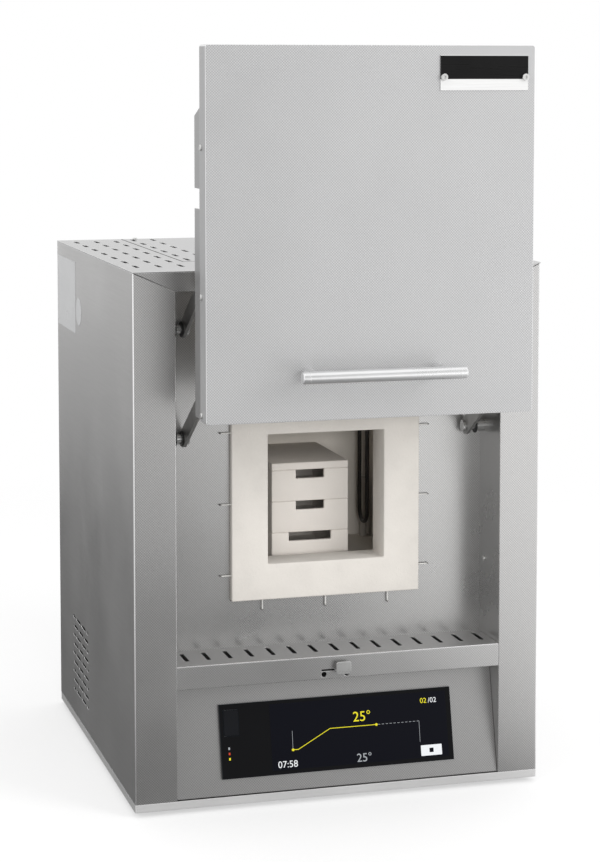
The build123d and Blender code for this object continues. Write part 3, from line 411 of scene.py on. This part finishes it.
def badgeFinish(look):
    # a printed plate: a black band over a plain light strip, left bare
    finish, tree, shader = newFinish("badgePlate", specular=0.12)
    grain = useGroup(tree, satinGrain, stretch=(30.0, 900.0, 900.0), cloudScale=30.0)
    edge = useGroup(tree, paintedHighlight, radius=0.0004, breakup=0.3)
    height = put(tree, "SeparateXYZ", {0: put(tree, "TexCoord").outputs["Object"]}).outputs[2]
    band = calc(tree, "GREATER_THAN", height, look["bandFoot"])
    inside = calc(tree, "LESS_THAN", height, look["bandTop"])
    light = ramp(tree, grain["Lines"], [(0.3, shade(look["strip"], 0.96)), (0.7, shade(look["strip"], 1.04))])
    dark = ramp(tree, grain["Clouds"], [(0.3, shade(look["band"], 0.8)), (0.7, shade(look["band"], 1.2))])
    colour = blendColour(tree, calc(tree, "MULTIPLY", band, inside), light, dark)
    # painted highlight along the plate's edges
    colour = blendColour(tree, calc(tree, "MULTIPLY", edge["Edge"], 0.5), colour, (0.55, 0.55, 0.55, 1))
    rough = put(tree, "MapRange", {"Value": grain["Lines"], "To Min": 0.22, "To Max": 0.36}).outputs[0]
    bump = put(tree, "Bump", {
        "Strength": 0.4, "Distance": 0.00005, "Height": grain["Lines"], "Normal": edge["Rounded"]})
    tree.links.new(colour, shader.inputs["Base Color"])
    tree.links.new(rough, shader.inputs["Roughness"])
    tree.links.new(bump.outputs[0], shader.inputs["Normal"])
    return finish


badgeLow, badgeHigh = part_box("badge_plate")
badgePlate = badgeFinish({
    "bandFoot": badgeLow.z + 0.0098, "bandTop": badgeHigh.z - 0.0006,
    "band": (0.006, 0.006, 0.006), "strip": (0.62, 0.62, 0.615)})


def stapleFinish(look):
    # bright wire, painted dark near its ends as the shade of the holes it bends into
    finish, tree, shader = newFinish("stapleWire", metallic=0.35)
    grain = useGroup(tree, satinGrain, stretch=(300.0, 300.0, 300.0), cloudScale=200.0)
    place = put(tree, "SeparateXYZ", {0: put(tree, "TexCoord").outputs["Object"]}).outputs
    across = calc(tree, "ABSOLUTE", place[0])
    along = calc(tree, "ABSOLUTE", calc(tree, "SUBTRACT", place[2], look["middle"]))
    reach = calc(tree, "MAXIMUM", across, calc(tree, "ADD", along, look["squareUp"]))
    # painted shade: the wire darkens towards its ends, where it goes into the holes
    hook = put(tree, "MapRange", {
        "Value": reach, "From Min": look["wireEnd"] - look["shadeStart"],
        "From Max": look["wireEnd"] - look["shadeFull"]}).outputs[0]
    bright = ramp(tree, grain["Clouds"], [(0.3, shade(look["wire"], 0.85)), (0.7, look["wire"])])
    colour = blendColour(tree, hook, bright, (*look["hook"], 1))
    rough = put(tree, "MapRange", {"Value": grain["Lines"], "To Min": 0.25, "To Max": 0.45}).outputs[0]
    bump = put(tree, "Bump", {"Strength": 0.3, "Distance": 0.0001, "Height": grain["Lines"]})
    tree.links.new(colour, shader.inputs["Base Color"])
    tree.links.new(rough, shader.inputs["Roughness"])
    tree.links.new(bump.outputs[0], shader.inputs["Normal"])
    return finish


stapleLow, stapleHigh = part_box("collar_staples")
stapleMiddle = (stapleLow.z + stapleHigh.z) / 2
stapleWire = stapleFinish({
    "middle": stapleMiddle, "wireEnd": stapleHigh.x, "squareUp": stapleHigh.x - (stapleHigh.z - stapleMiddle),
    "shadeStart": 0.0022, "shadeFull": 0.0006, "wire": (0.82, 0.81, 0.78), "hook": (0.09, 0.085, 0.08)})


def sliderFinish(look):
    # bright tab in front of the lip; behind the lip face, inside the slot, the steel is painted near-black as shade
    finish, tree, shader = newFinish("sliderSteel", metallic=0.9)
    grain = useGroup(tree, satinGrain, stretch=(60.0, 900.0, 900.0), cloudScale=80.0)
    edge = useGroup(tree, paintedHighlight, radius=0.0006, breakup=0.3, bends=0.0)
    depth = put(tree, "SeparateXYZ", {0: put(tree, "TexCoord").outputs["Object"]}).outputs[1]
    behind = calc(tree, "GREATER_THAN", depth, look["lipFace"])
    bright = ramp(tree, grain["Clouds"], [(0.3, shade(look["tab"], 0.92)), (0.7, shade(look["tab"], 1.05))])
    # painted highlight along the tab's edges
    bright = blendColour(tree, edge["Edge"], bright, (0.95, 0.95, 0.95, 1))
    # painted shade inside the slot, behind the lip face
    colour = blendColour(tree, behind, bright, (*look["shutter"], 1))
    rough = put(tree, "MapRange", {"Value": grain["Lines"], "To Min": 0.2, "To Max": 0.38}).outputs[0]
    bump = put(tree, "Bump", {
        "Strength": 0.5, "Distance": 0.00003, "Height": grain["Lines"], "Normal": edge["Rounded"]})
    tree.links.new(colour, shader.inputs["Base Color"])
    tree.links.new(rough, shader.inputs["Roughness"])
    tree.links.new(bump.outputs[0], shader.inputs["Normal"])
    return finish


sliderSteel = sliderFinish({"lipFace": -0.1274, "tab": (0.72, 0.72, 0.71), "shutter": (0.012, 0.012, 0.012)})


def litFinish(name, colour, strength):
    # one colour of the screen, glowing a little, with the faint cell pattern of a display
    finish, tree, shader = newFinish(name, specular=0.1, emission=strength)
    place = put(tree, "TexCoord").outputs["Object"]
    cells = put(tree, "TexNoise", {"Vector": place, "Scale": 2500.0, "Detail": 1.0}).outputs["Fac"]
    glow = ramp(tree, cells, [(0.3, shade(colour, 0.88)), (0.7, colour)])
    rough = put(tree, "MapRange", {"Value": cells, "To Min": 0.3, "To Max": 0.45}).outputs[0]
    dim = ramp(tree, cells, [(0.3, shade(colour, 0.25)), (0.7, shade(colour, 0.3))])
    tree.links.new(dim, shader.inputs["Base Color"])
    tree.links.new(glow, shader.inputs["Emission Color"])
    tree.links.new(rough, shader.inputs["Roughness"])
    return finish


screenYellow = litFinish("screenYellow", (0.80, 0.72, 0.03), 0.8)
screenWhite = litFinish("screenWhite", (0.80, 0.82, 0.84), 0.8)
screenGrey = litFinish("screenGrey", (0.36, 0.38, 0.40), 0.8)
screenRed = litFinish("screenRed", (0.55, 0.06, 0.03), 0.8)
screenField = litFinish("screenField", (0.004, 0.0045, 0.009), 0.5)
print("finishes made")

finishOf = {
    "door_pan": doorSteel, "left_side_panel": sideSteel, "right_side_panel": sideSteel, "lintel": frontSteel,
    "control_fascia": fasciaSteel, "recess_back": recessSteel, "recess_walls": recessSteel, "shelf": shelfSteel,
    "base_tray": traySteel, "roof_frame": roofSteel, "roof_center_panel": roofSteel, "rear_panel": sideSteel,
    "door_brackets": bracketSteel, "air_slider": sliderSteel, "inner_casing": innerSteel, "door_cassette": innerSteel,
    "casing_supports": innerSteel, "lift_arm_lower_left": armSteel, "lift_arm_lower_right": armSteel,
    "lift_arm_upper_left": armSteel, "lift_arm_upper_right": armSteel, "pivot_rings": ringSteel,
    "pivot_studs": boltSteel, "door_pins": boltSteel, "bracket_screws": boltSteel, "panel_screws": boltSteel,
    "recess_screws": boltSteel, "badge_screws": boltSteel, "element_clamps": boltSteel, "handle_bar": handleSteel,
    "handle_posts": handleSteel, "badge_plate": badgePlate, "collar_staples": stapleWire,
    "power_regulator": heatSinkMetal, "transformer": coilPack, "feet": footRubber, "controller_housing": blackPlastic,
    "fan_frame": blackPlastic, "fan_rotor": blackPlastic, "power_inlet": blackPlastic, "switch_frame": blackPlastic,
    "switch_rocker": blackPlastic, "port_cover": coverPlastic, "control_glass": panelGlass,
    "heating_elements": elementDark, "thermocouple": tubeCeramic, "air_inlet_tube": tubeCeramic,
    "side_labels": labelFilm, "door_filling": plugFibre,
}
for nodeName, finish in finishOf.items():
    materials = nodes[nodeName].data.materials
    for index in range(len(materials)):
        materials[index] = finish
print("frame nodes finished")


# pieces made here

def newPiece(name, mesh, finish, body):
    piece = bpy.data.objects.new(name, mesh)
    bpy.context.scene.collection.objects.link(piece)
    mesh.materials.clear()
    mesh.materials.append(finish)
    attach(piece, body)
    return piece


def meshFrom(name, shape, sharpAngle=35.0):
    mesh = bpy.data.meshes.new(name)
    shape.to_mesh(mesh)
    shape.free()
    for polygon in mesh.polygons:
        polygon.use_smooth = True
    mesh.set_sharp_from_angle(angle=math.radians(sharpAngle))
    return mesh


def softCopy(node, name, finish, look):
    # a node's own form with its edges rounded off, as pressed fibre and fired ceramic have them
    shape = bmesh.new()
    shape.from_mesh(nodes[node].data)
    bmesh.ops.remove_doubles(shape, verts=shape.verts, dist=1e-6)
    bmesh.ops.dissolve_limit(shape, angle_limit=math.radians(1), verts=shape.verts, edges=shape.edges)
    edges = [edge for edge in shape.edges if edge.is_manifold and edge.calc_face_angle(0) > math.radians(30)]
    bmesh.ops.bevel(
        shape, geom=edges, offset=look["rounding"], segments=look["segments"], profile=0.5,
        affect="EDGES", clamp_overlap=True)
    piece = newPiece(name, meshFrom(name, shape), finish, look["body"])
    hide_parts(node)


# node: piece, finish, rounding, slot
fibreForms = {
    "fibre_collar": ("collarBlock", collarFibre, 0.0012, "fibre"),
    "front_board": ("frontBoard", chamberFibre, 0.0010, "fibre"),
    "side_boards": ("sideBoards", chamberFibre, 0.0008, "fibre"),
    "floor_board": ("floorBoard", chamberFibre, 0.0008, "fibre"),
    "rear_board": ("rearBoard", chamberFibre, 0.0008, "fibre"),
    "roof_board": ("roofBoard", chamberFibre, 0.0008, "fibre"),
    "saggar_lower": ("saggarLower", firedCeramic, 0.0009, "saggar_ceramic"),
    "saggar_middle": ("saggarMiddle", firedCeramic, 0.0009, "saggar_ceramic"),
    "saggar_upper": ("saggarUpper", firedCeramic, 0.0009, "saggar_ceramic"),
    "saggar_lid": ("saggarLid", firedCeramic, 0.0009, "saggar_ceramic"),
    "door_plug": ("doorPlug", plugFibre, 0.0012, "fibre"),
}
for node, (name, finish, rounding, slotName) in fibreForms.items():
    softCopy(node, name, finish, {
        "rounding": rounding, "segments": 3, "slot": slotName,
        "body": "door" if node == "door_plug" else "cabinet"})
print("fibre and ceramic pieces made")


# the screen: marks lie on the glass, measured along it from its foot
screen = {
    "lean": math.atan2(0.0230, 0.1022), "foot": Vector((0.0, -0.12575, 0.0123)), "glass": 0.0030,
    "bed": 0.00002, "fieldLevel": 0.00008, "numberLevel": 0.00016, "markLevel": 0.00018, "dotLevel": 0.00022,
    "field": (-0.0640, 0.1065, 0.0190, 0.0790), "lineWidth": 0.0006, "dotRadius": 0.0012,
    "curve": [(-0.0437, 0.0365), (-0.0386, 0.0365), (-0.0073, 0.0529), (0.0375, 0.0529)],
    "dashes": (0.0390, 0.0792, 0.0529), "dashLength": 0.0022, "dashGap": 0.0016,
    "thinLines": [((0.0792, 0.0529), (0.0790, 0.0338)), ((-0.0435, 0.0535), (-0.0438, 0.0375))],
    "status": [(-0.1037, 0.0424, "grey"), (-0.1036, 0.0377, "red"), (-0.1035, 0.0330, "yellow")],
    "statusSize": 0.0022, "button": (0.0794, 0.0998, 0.0207, 0.0304), "buttonCorner": 0.0005, "stop": 0.0040,
    # text, place along, height up, size, finish
    "numbers": {
        "numberSet": ("25°", 0.0150, 0.0572, 0.0128, screenYellow),
        "numberNow": ("25°", 0.0165, 0.0205, 0.0108, screenGrey),
        "numberTime": ("07:58", -0.0588, 0.0212, 0.0086, screenWhite),
        "numberPage": ("02", 0.0812, 0.0690, 0.0066, screenYellow),
        "numberPages": ("/02", 0.0890, 0.0690, 0.0066, screenWhite),
    },
}


def onScreen(x, s, lift):
    up = Vector((0, math.sin(screen["lean"]), math.cos(screen["lean"])))
    out = Vector((0, -math.cos(screen["lean"]), math.sin(screen["lean"])))
    return screen["foot"] + Vector((x, 0, 0)) + up * s + out * (screen["glass"] + lift)


def screenMark(shape, outline, level):
    # a flat film with a real, thin edge
    low = [shape.verts.new(onScreen(x, s, screen["bed"])) for x, s in outline]
    high = [shape.verts.new(onScreen(x, s, level)) for x, s in outline]
    shape.faces.new(high)
    shape.faces.new(list(reversed(low)))
    count = len(outline)
    for index in range(count):
        after = (index + 1) % count
        shape.faces.new([low[index], low[after], high[after], high[index]])


def bar(start, end, width):
    (x0, s0), (x1, s1) = start, end
    length = math.hypot(x1 - x0, s1 - s0)
    across = (-(s1 - s0) / length * width / 2, (x1 - x0) / length * width / 2)
    return [(x0 - across[0], s0 - across[1]), (x1 - across[0], s1 - across[1]),
            (x1 + across[0], s1 + across[1]), (x0 + across[0], s0 + across[1])]


def rectangle(x0, x1, s0, s1, corner=0.0):
    if not corner:
        return [(x0, s0), (x1, s0), (x1, s1), (x0, s1)]
    points = []
    for cx, cs, start in ((x1 - corner, s0 + corner, -90), (x1 - corner, s1 - corner, 0),
                          (x0 + corner, s1 - corner, 90), (x0 + corner, s0 + corner, 180)):
        for step in range(5):
            turn = math.radians(start + step * 22.5)
            points.append((cx + corner * math.cos(turn), cs + corner * math.sin(turn)))
    return points


def disc(x, s, radius, steps=24):
    return [(x + radius * math.cos(2 * math.pi * i / steps), s + radius * math.sin(2 * math.pi * i / steps))
            for i in range(steps)]


def makeScreen():
    finishes = {"field": screenField, "yellow": screenYellow, "white": screenWhite, "grey": screenGrey,
                "red": screenRed, "black": screenField}
    marks = {label: bmesh.new() for label in finishes}
    width, mark, dot = screen["lineWidth"], screen["markLevel"], screen["dotLevel"]
    screenMark(marks["field"], rectangle(*screen["field"]), screen["fieldLevel"])
    curve = screen["curve"]
    for first, last in zip(curve, curve[1:]):
        screenMark(marks["yellow"], bar(first, last, width), mark)
    for x, s in (curve[0], curve[-1]):
        screenMark(marks["yellow"], disc(x, s, screen["dotRadius"]), dot)
    start, end, height = screen["dashes"]
    while start < end - screen["dashLength"]:
        screenMark(marks["grey"], bar((start, height), (start + screen["dashLength"], height), width * 0.6), mark)
        start += screen["dashLength"] + screen["dashGap"]
    for first, last in screen["thinLines"]:
        screenMark(marks["grey"], bar(first, last, width * 0.5), mark)
    half = screen["statusSize"] / 2
    for x, s, colour in screen["status"]:
        screenMark(marks[colour], rectangle(x - half * 0.7, x + half * 0.7, s - half, s + half), mark)
    x0, x1, s0, s1 = screen["button"]
    screenMark(marks["white"], rectangle(x0, x1, s0, s1, screen["buttonCorner"]), mark)
    x, s, half = (x0 + x1) / 2, (s0 + s1) / 2, screen["stop"] / 2
    screenMark(marks["black"], rectangle(x - half, x + half, s - half, s + half), dot)
    for label, shape in marks.items():
        bmesh.ops.recalc_face_normals(shape, faces=shape.faces)
        name = "screen" + label.capitalize()
        newPiece(name, meshFrom(name, shape), finishes[label], "cabinet")


def makeNumber(name, text, x, s, size, finish):
    # plain digits set in Blender's own face, turned to lie on the glass
    words = bpy.data.curves.new(name, "FONT")
    words.body, words.size, words.extrude = text, size, 0.00005
    words.resolution_u = 6
    carrier = bpy.data.objects.new(name + "Curve", words)
    bpy.context.scene.collection.objects.link(carrier)
    bpy.context.view_layer.update()
    mesh = bpy.data.meshes.new_from_object(carrier.evaluated_get(bpy.context.evaluated_depsgraph_get()))
    bpy.data.objects.remove(carrier)
    mesh.transform(Matrix.Rotation(math.radians(90) - screen["lean"], 4, "X"))
    mesh.transform(Matrix.Translation(onScreen(x, s, screen["numberLevel"])))
    mesh.name = name
    newPiece(name, mesh, finish, "cabinet")


makeScreen()
for name, number in screen["numbers"].items():
    makeNumber(name, *number)
print("screen made")


# handle ends: a fine turned lip near each end of the bar, flattened where it would pass the bar's own reach
handle = {"lipInset": 0.0060, "lipWidth": 0.0007, "lipRise": 0.00012, "lipRoot": -0.0001, "steps": 48}


def makeHandleLips():
    low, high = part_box("handle_bar")
    radius = (high.z - low.z) / 2
    y, z = (low.y + high.y) / 2, (low.z + high.z) / 2
    shape = bmesh.new()
    for x in (low.x + handle["lipInset"], high.x - handle["lipInset"]):
        rows = []
        for shift, rise in ((-1, handle["lipRoot"]), (-0.6, handle["lipRise"]),
                            (0.6, handle["lipRise"]), (1, handle["lipRoot"])):
            reach = radius + rise
            turns = [2 * math.pi * step / handle["steps"] for step in range(handle["steps"])]
            rows.append([shape.verts.new((
                x + shift * handle["lipWidth"] / 2,
                y + max(-radius, min(radius, reach * math.cos(turn))),
                z + reach * math.sin(turn))) for turn in turns])
        for first, second in zip(rows, rows[1:]):
            for step in range(handle["steps"]):
                after = (step + 1) % handle["steps"]
                shape.faces.new([first[step], first[after], second[after], second[step]])
    bmesh.ops.recalc_face_normals(shape, faces=shape.faces)
    newPiece("handleLips", meshFrom("handleLips", shape), handleSteel, "door")


makeHandleLips()


# dark sealing strip in the joint round the roof's removable panel
seam = {"width": 0.0013, "rise": 0.00012, "depth": 0.0008, "backGap": 0.0040}


def makeRoofSeam():
    low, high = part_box("roof_center_panel")
    half, front, back, top = high.x, low.y, high.y - seam["backGap"], high.z
    wide = seam["width"] / 2
    shape = bmesh.new()
    outer = [(-half - wide, back), (-half - wide, front - wide), (half + wide, front - wide), (half + wide, back)]
    inner = [(-half + wide, back), (-half + wide, front + wide), (half - wide, front + wide), (half - wide, back)]
    middle = [((a[0] + b[0]) / 2, (a[1] + b[1]) / 2) for a, b in zip(outer, inner)]
    foot, shoulder = top - seam["depth"], top + seam["rise"] * 0.4
    rows = [[shape.verts.new((x, y, z)) for x, y in line]
            for line, z in ((outer, foot), (outer, shoulder), (middle, top + seam["rise"]),
                            (inner, shoulder), (inner, foot))]
    for first, second in zip(rows, rows[1:] + rows[:1]):
        for index in range(3):
            shape.faces.new([first[index], first[index + 1], second[index + 1], second[index]])
    shape.faces.new([row[0] for row in rows])
    shape.faces.new([row[3] for row in reversed(rows)])
    bmesh.ops.recalc_face_normals(shape, faces=shape.faces)
    newPiece("roofSeam", meshFrom("roofSeam", shape), footRubber, "cabinet")


makeRoofSeam()
print("small pieces made")


# studio: a pale floor that shows white, soft lamps that reflections don't see, and cards that only they see
studio = {
    "cameraPlace": (-0.58608, -2.03738, 0.66692), "cameraYaw": 15.982, "cameraPitch": -4.697, "lens": 92.846,
    "shift": -0.2042,
    "floorRadius": 4.0, "floorFade": (1.0, 1.6), "floorTone": 0.50, "floorLift": 0.50,
    # how light the floor looks in the metal: near and far, more at the right and left, less behind
    "glossNear": 0.17, "glossFar": 0.65, "glossReach": (1.2, 3.2),
    "glossRight": (0.15, 0.4, 0.88), "glossLeft": (-0.3, -0.9, 0.45), "glossBehind": (0.0, 1.0, 0.6),
    "worldFill": 0.78,
    # place, target, size, power
    "lamps": {
        "keyLamp": ((1.9, -2.3, 1.5), (0, 0, 0.3), (1.2, 1.2), 36.0),
        "fillLamp": ((-2.3, -1.6, 1.9), (0, 0, 0.35), (1.2, 1.2), 14.0),
        "frontLamp": ((-0.35, -2.9, 0.72), (0, 0, 0.27), (0.9, 0.5), 30.0),
        "topLamp": ((0.2, 0.4, 2.6), (0, 0, 0.3), (1.6, 1.2), 10.0),
    },
    # place, target, size, darkest and lightest level, share across and up, where the two levels lie
    "cards": {
        "leftCard": ((-1.5, 2.2, 0.5), (-0.19, 0.1, 0.25), (1.6, 1.8), (0.26, 0.82), (0.0, 1.0), (0.0, 1.0)),
        "frontCard": ((0.2, -3.4, 1.8), (0.2, 0, 1.8), (3.0, 3.6), (0.25, 1.15), (0.6, -0.5), (0.05, 0.56)),
        "rightCard": ((2.3, -2.5, 0.55), (0.1, 0, 0.3), (1.3, 1.3), (1.7, 1.7), (0.0, 1.0), (0.0, 1.0)),
    },
}


def makeFloor():
    shape = bmesh.new()
    bmesh.ops.create_circle(shape, cap_ends=True, segments=96, radius=studio["floorRadius"])
    mesh = bpy.data.meshes.new("floor")
    shape.to_mesh(mesh)
    shape.free()
    floor = bpy.data.objects.new("floor", mesh)
    bpy.context.scene.collection.objects.link(floor)
    finish = bpy.data.materials.new("floorPaper")
    finish.use_nodes = True
    finish.cycles.emission_sampling = "NONE"  # only rays that hit it see its glow
    tree = finish.node_tree
    tree.nodes.clear()
    place = put(tree, "TexCoord").outputs["Object"]
    tooth = put(tree, "TexNoise", {"Vector": place, "Scale": 300.0, "Detail": 4.0}).outputs["Fac"]
    tone = ramp(tree, tooth, [(0.3, (studio["floorTone"] * 0.99,) * 3), (0.7, (studio["floorTone"] * 1.01,) * 3)])
    paper = put(tree, "BsdfDiffuse", {"Color": tone}).outputs[0]
    rays = put(tree, "LightPath").outputs
    lift = calc(tree, "MULTIPLY", rays["Is Camera Ray"], studio["floorLift"])
    glow = put(tree, "Emission", {"Color": (1, 1, 1, 1), "Strength": lift}).outputs[0]
    lit = put(tree, "AddShader", {0: paper, 1: glow}).outputs[0]
    away = put(tree, "VectorMath", {0: place}, operation="LENGTH").outputs["Value"]
    reflected = put(tree, "MapRange", {
        "Value": away, "From Min": studio["glossReach"][0], "From Max": studio["glossReach"][1],
        "To Min": studio["glossNear"], "To Max": studio["glossFar"]}).outputs[0]
    flat = put(tree, "SeparateXYZ", {0: place}).outputs
    right, left = [put(tree, "MapRange", {
        "Value": flat[0], "From Min": start, "From Max": end, "To Max": most}).outputs[0]
        for start, end, most in (studio["glossRight"], studio["glossLeft"])]
    start, end, least = studio["glossBehind"]
    behind = put(tree, "MapRange", {
        "Value": flat[1], "From Min": start, "From Max": end, "To Min": 1.0, "To Max": least}).outputs[0]
    level = calc(tree, "MULTIPLY", calc(tree, "ADD", reflected, calc(tree, "ADD", right, left)), behind)
    gloss = put(tree, "Emission", {"Color": (1, 1, 1, 1), "Strength": level}).outputs[0]
    seen = put(tree, "MixShader", {0: rays["Is Glossy Ray"], 1: lit, 2: gloss}).outputs[0]
    fade = put(tree, "MapRange", {
        "Value": away, "From Min": studio["floorFade"][0], "From Max": studio["floorFade"][1]}).outputs[0]
    clear = put(tree, "BsdfTransparent").outputs[0]
    gone = calc(tree, "MULTIPLY", fade, rays["Is Camera Ray"])
    mixed = put(tree, "MixShader", {0: gone, 1: seen, 2: clear}).outputs[0]
    tree.links.new(mixed, put(tree, "OutputMaterial").inputs["Surface"])
    mesh.materials.append(finish)


def makeWorld():
    world = bpy.data.worlds.new("studioWorld")
    bpy.context.scene.world = world
    world.use_nodes = True
    tree = world.node_tree
    tree.nodes.clear()
    rays = put(tree, "LightPath").outputs
    shown = calc(tree, "MAXIMUM", calc(tree, "MAXIMUM", rays["Is Camera Ray"], rays["Is Glossy Ray"]),
                 rays["Is Transmission Ray"])
    strength = calc(tree, "ADD", studio["worldFill"], calc(tree, "MULTIPLY", shown, 1 - studio["worldFill"]))
    background = put(tree, "Background", {"Color": (1, 1, 1, 1), "Strength": strength}).outputs[0]
    tree.links.new(background, put(tree, "OutputWorld").inputs["Surface"])


def makeLamp(name, place, target, size, power):
    # a soft box that leaves no hot spot on the metal, because reflections don't see it
    lamp = bpy.data.lights.new(name, "AREA")
    lamp.shape, lamp.size, lamp.size_y, lamp.energy = "RECTANGLE", size[0], size[1], power
    holder = bpy.data.objects.new(name, lamp)
    bpy.context.scene.collection.objects.link(holder)
    holder.location = place
    holder.rotation_euler = (Vector(target) - Vector(place)).to_track_quat("-Z", "Y").to_euler()
    holder.visible_glossy = False


def makeCard(name, place, target, size, levels, shares, ends):
    # a plain card off the picture, seen by reflections alone, whose level changes across and up
    shape = bmesh.new()
    bmesh.ops.create_grid(shape, x_segments=1, y_segments=1, size=0.5)
    mesh = bpy.data.meshes.new(name)
    shape.to_mesh(mesh)
    shape.free()
    card = bpy.data.objects.new(name, mesh)
    bpy.context.scene.collection.objects.link(card)
    card.scale = (size[0], size[1], 1)
    card.location = place
    card.rotation_euler = (Vector(target) - Vector(place)).to_track_quat("Z", "Y").to_euler()
    card.visible_camera = card.visible_diffuse = card.visible_shadow = card.visible_transmission = False
    finish = bpy.data.materials.new(name)
    finish.use_nodes = True
    finish.cycles.emission_sampling = "NONE"  # only rays that hit it see its glow
    tree = finish.node_tree
    tree.nodes.clear()
    parts = put(tree, "SeparateXYZ", {0: put(tree, "TexCoord").outputs["Generated"]}).outputs
    sideways = calc(tree, "MULTIPLY", calc(tree, "SUBTRACT", 1.0, parts[0]), shares[0])
    gradient = calc(tree, "MULTIPLY_ADD", parts[1], shares[1], sideways)
    tone = ramp(tree, gradient, [(end, (level,) * 3) for end, level in zip(ends, levels)])
    glow = put(tree, "Emission", {"Color": tone, "Strength": 1.0}).outputs[0]
    tree.links.new(glow, put(tree, "OutputMaterial").inputs["Surface"])
    mesh.materials.append(finish)


makeFloor()
makeWorld()
for name, settings in studio["lamps"].items():
    makeLamp(name, *settings)
for name, settings in studio["cards"].items():
    makeCard(name, *settings)

camera = bpy.data.objects.new("camera", bpy.data.cameras.new("camera"))
bpy.context.scene.collection.objects.link(camera)
camera.location = studio["cameraPlace"]
camera.rotation_euler = (
    math.radians(90 + studio["cameraPitch"]), 0.0, math.radians(-studio["cameraYaw"]))
camera.data.lens, camera.data.sensor_width, camera.data.shift_y = studio["lens"], 36.0, studio["shift"]
bpy.context.scene.camera = camera
bpy.context.scene.view_settings.view_transform = "Standard"
print("studio set")
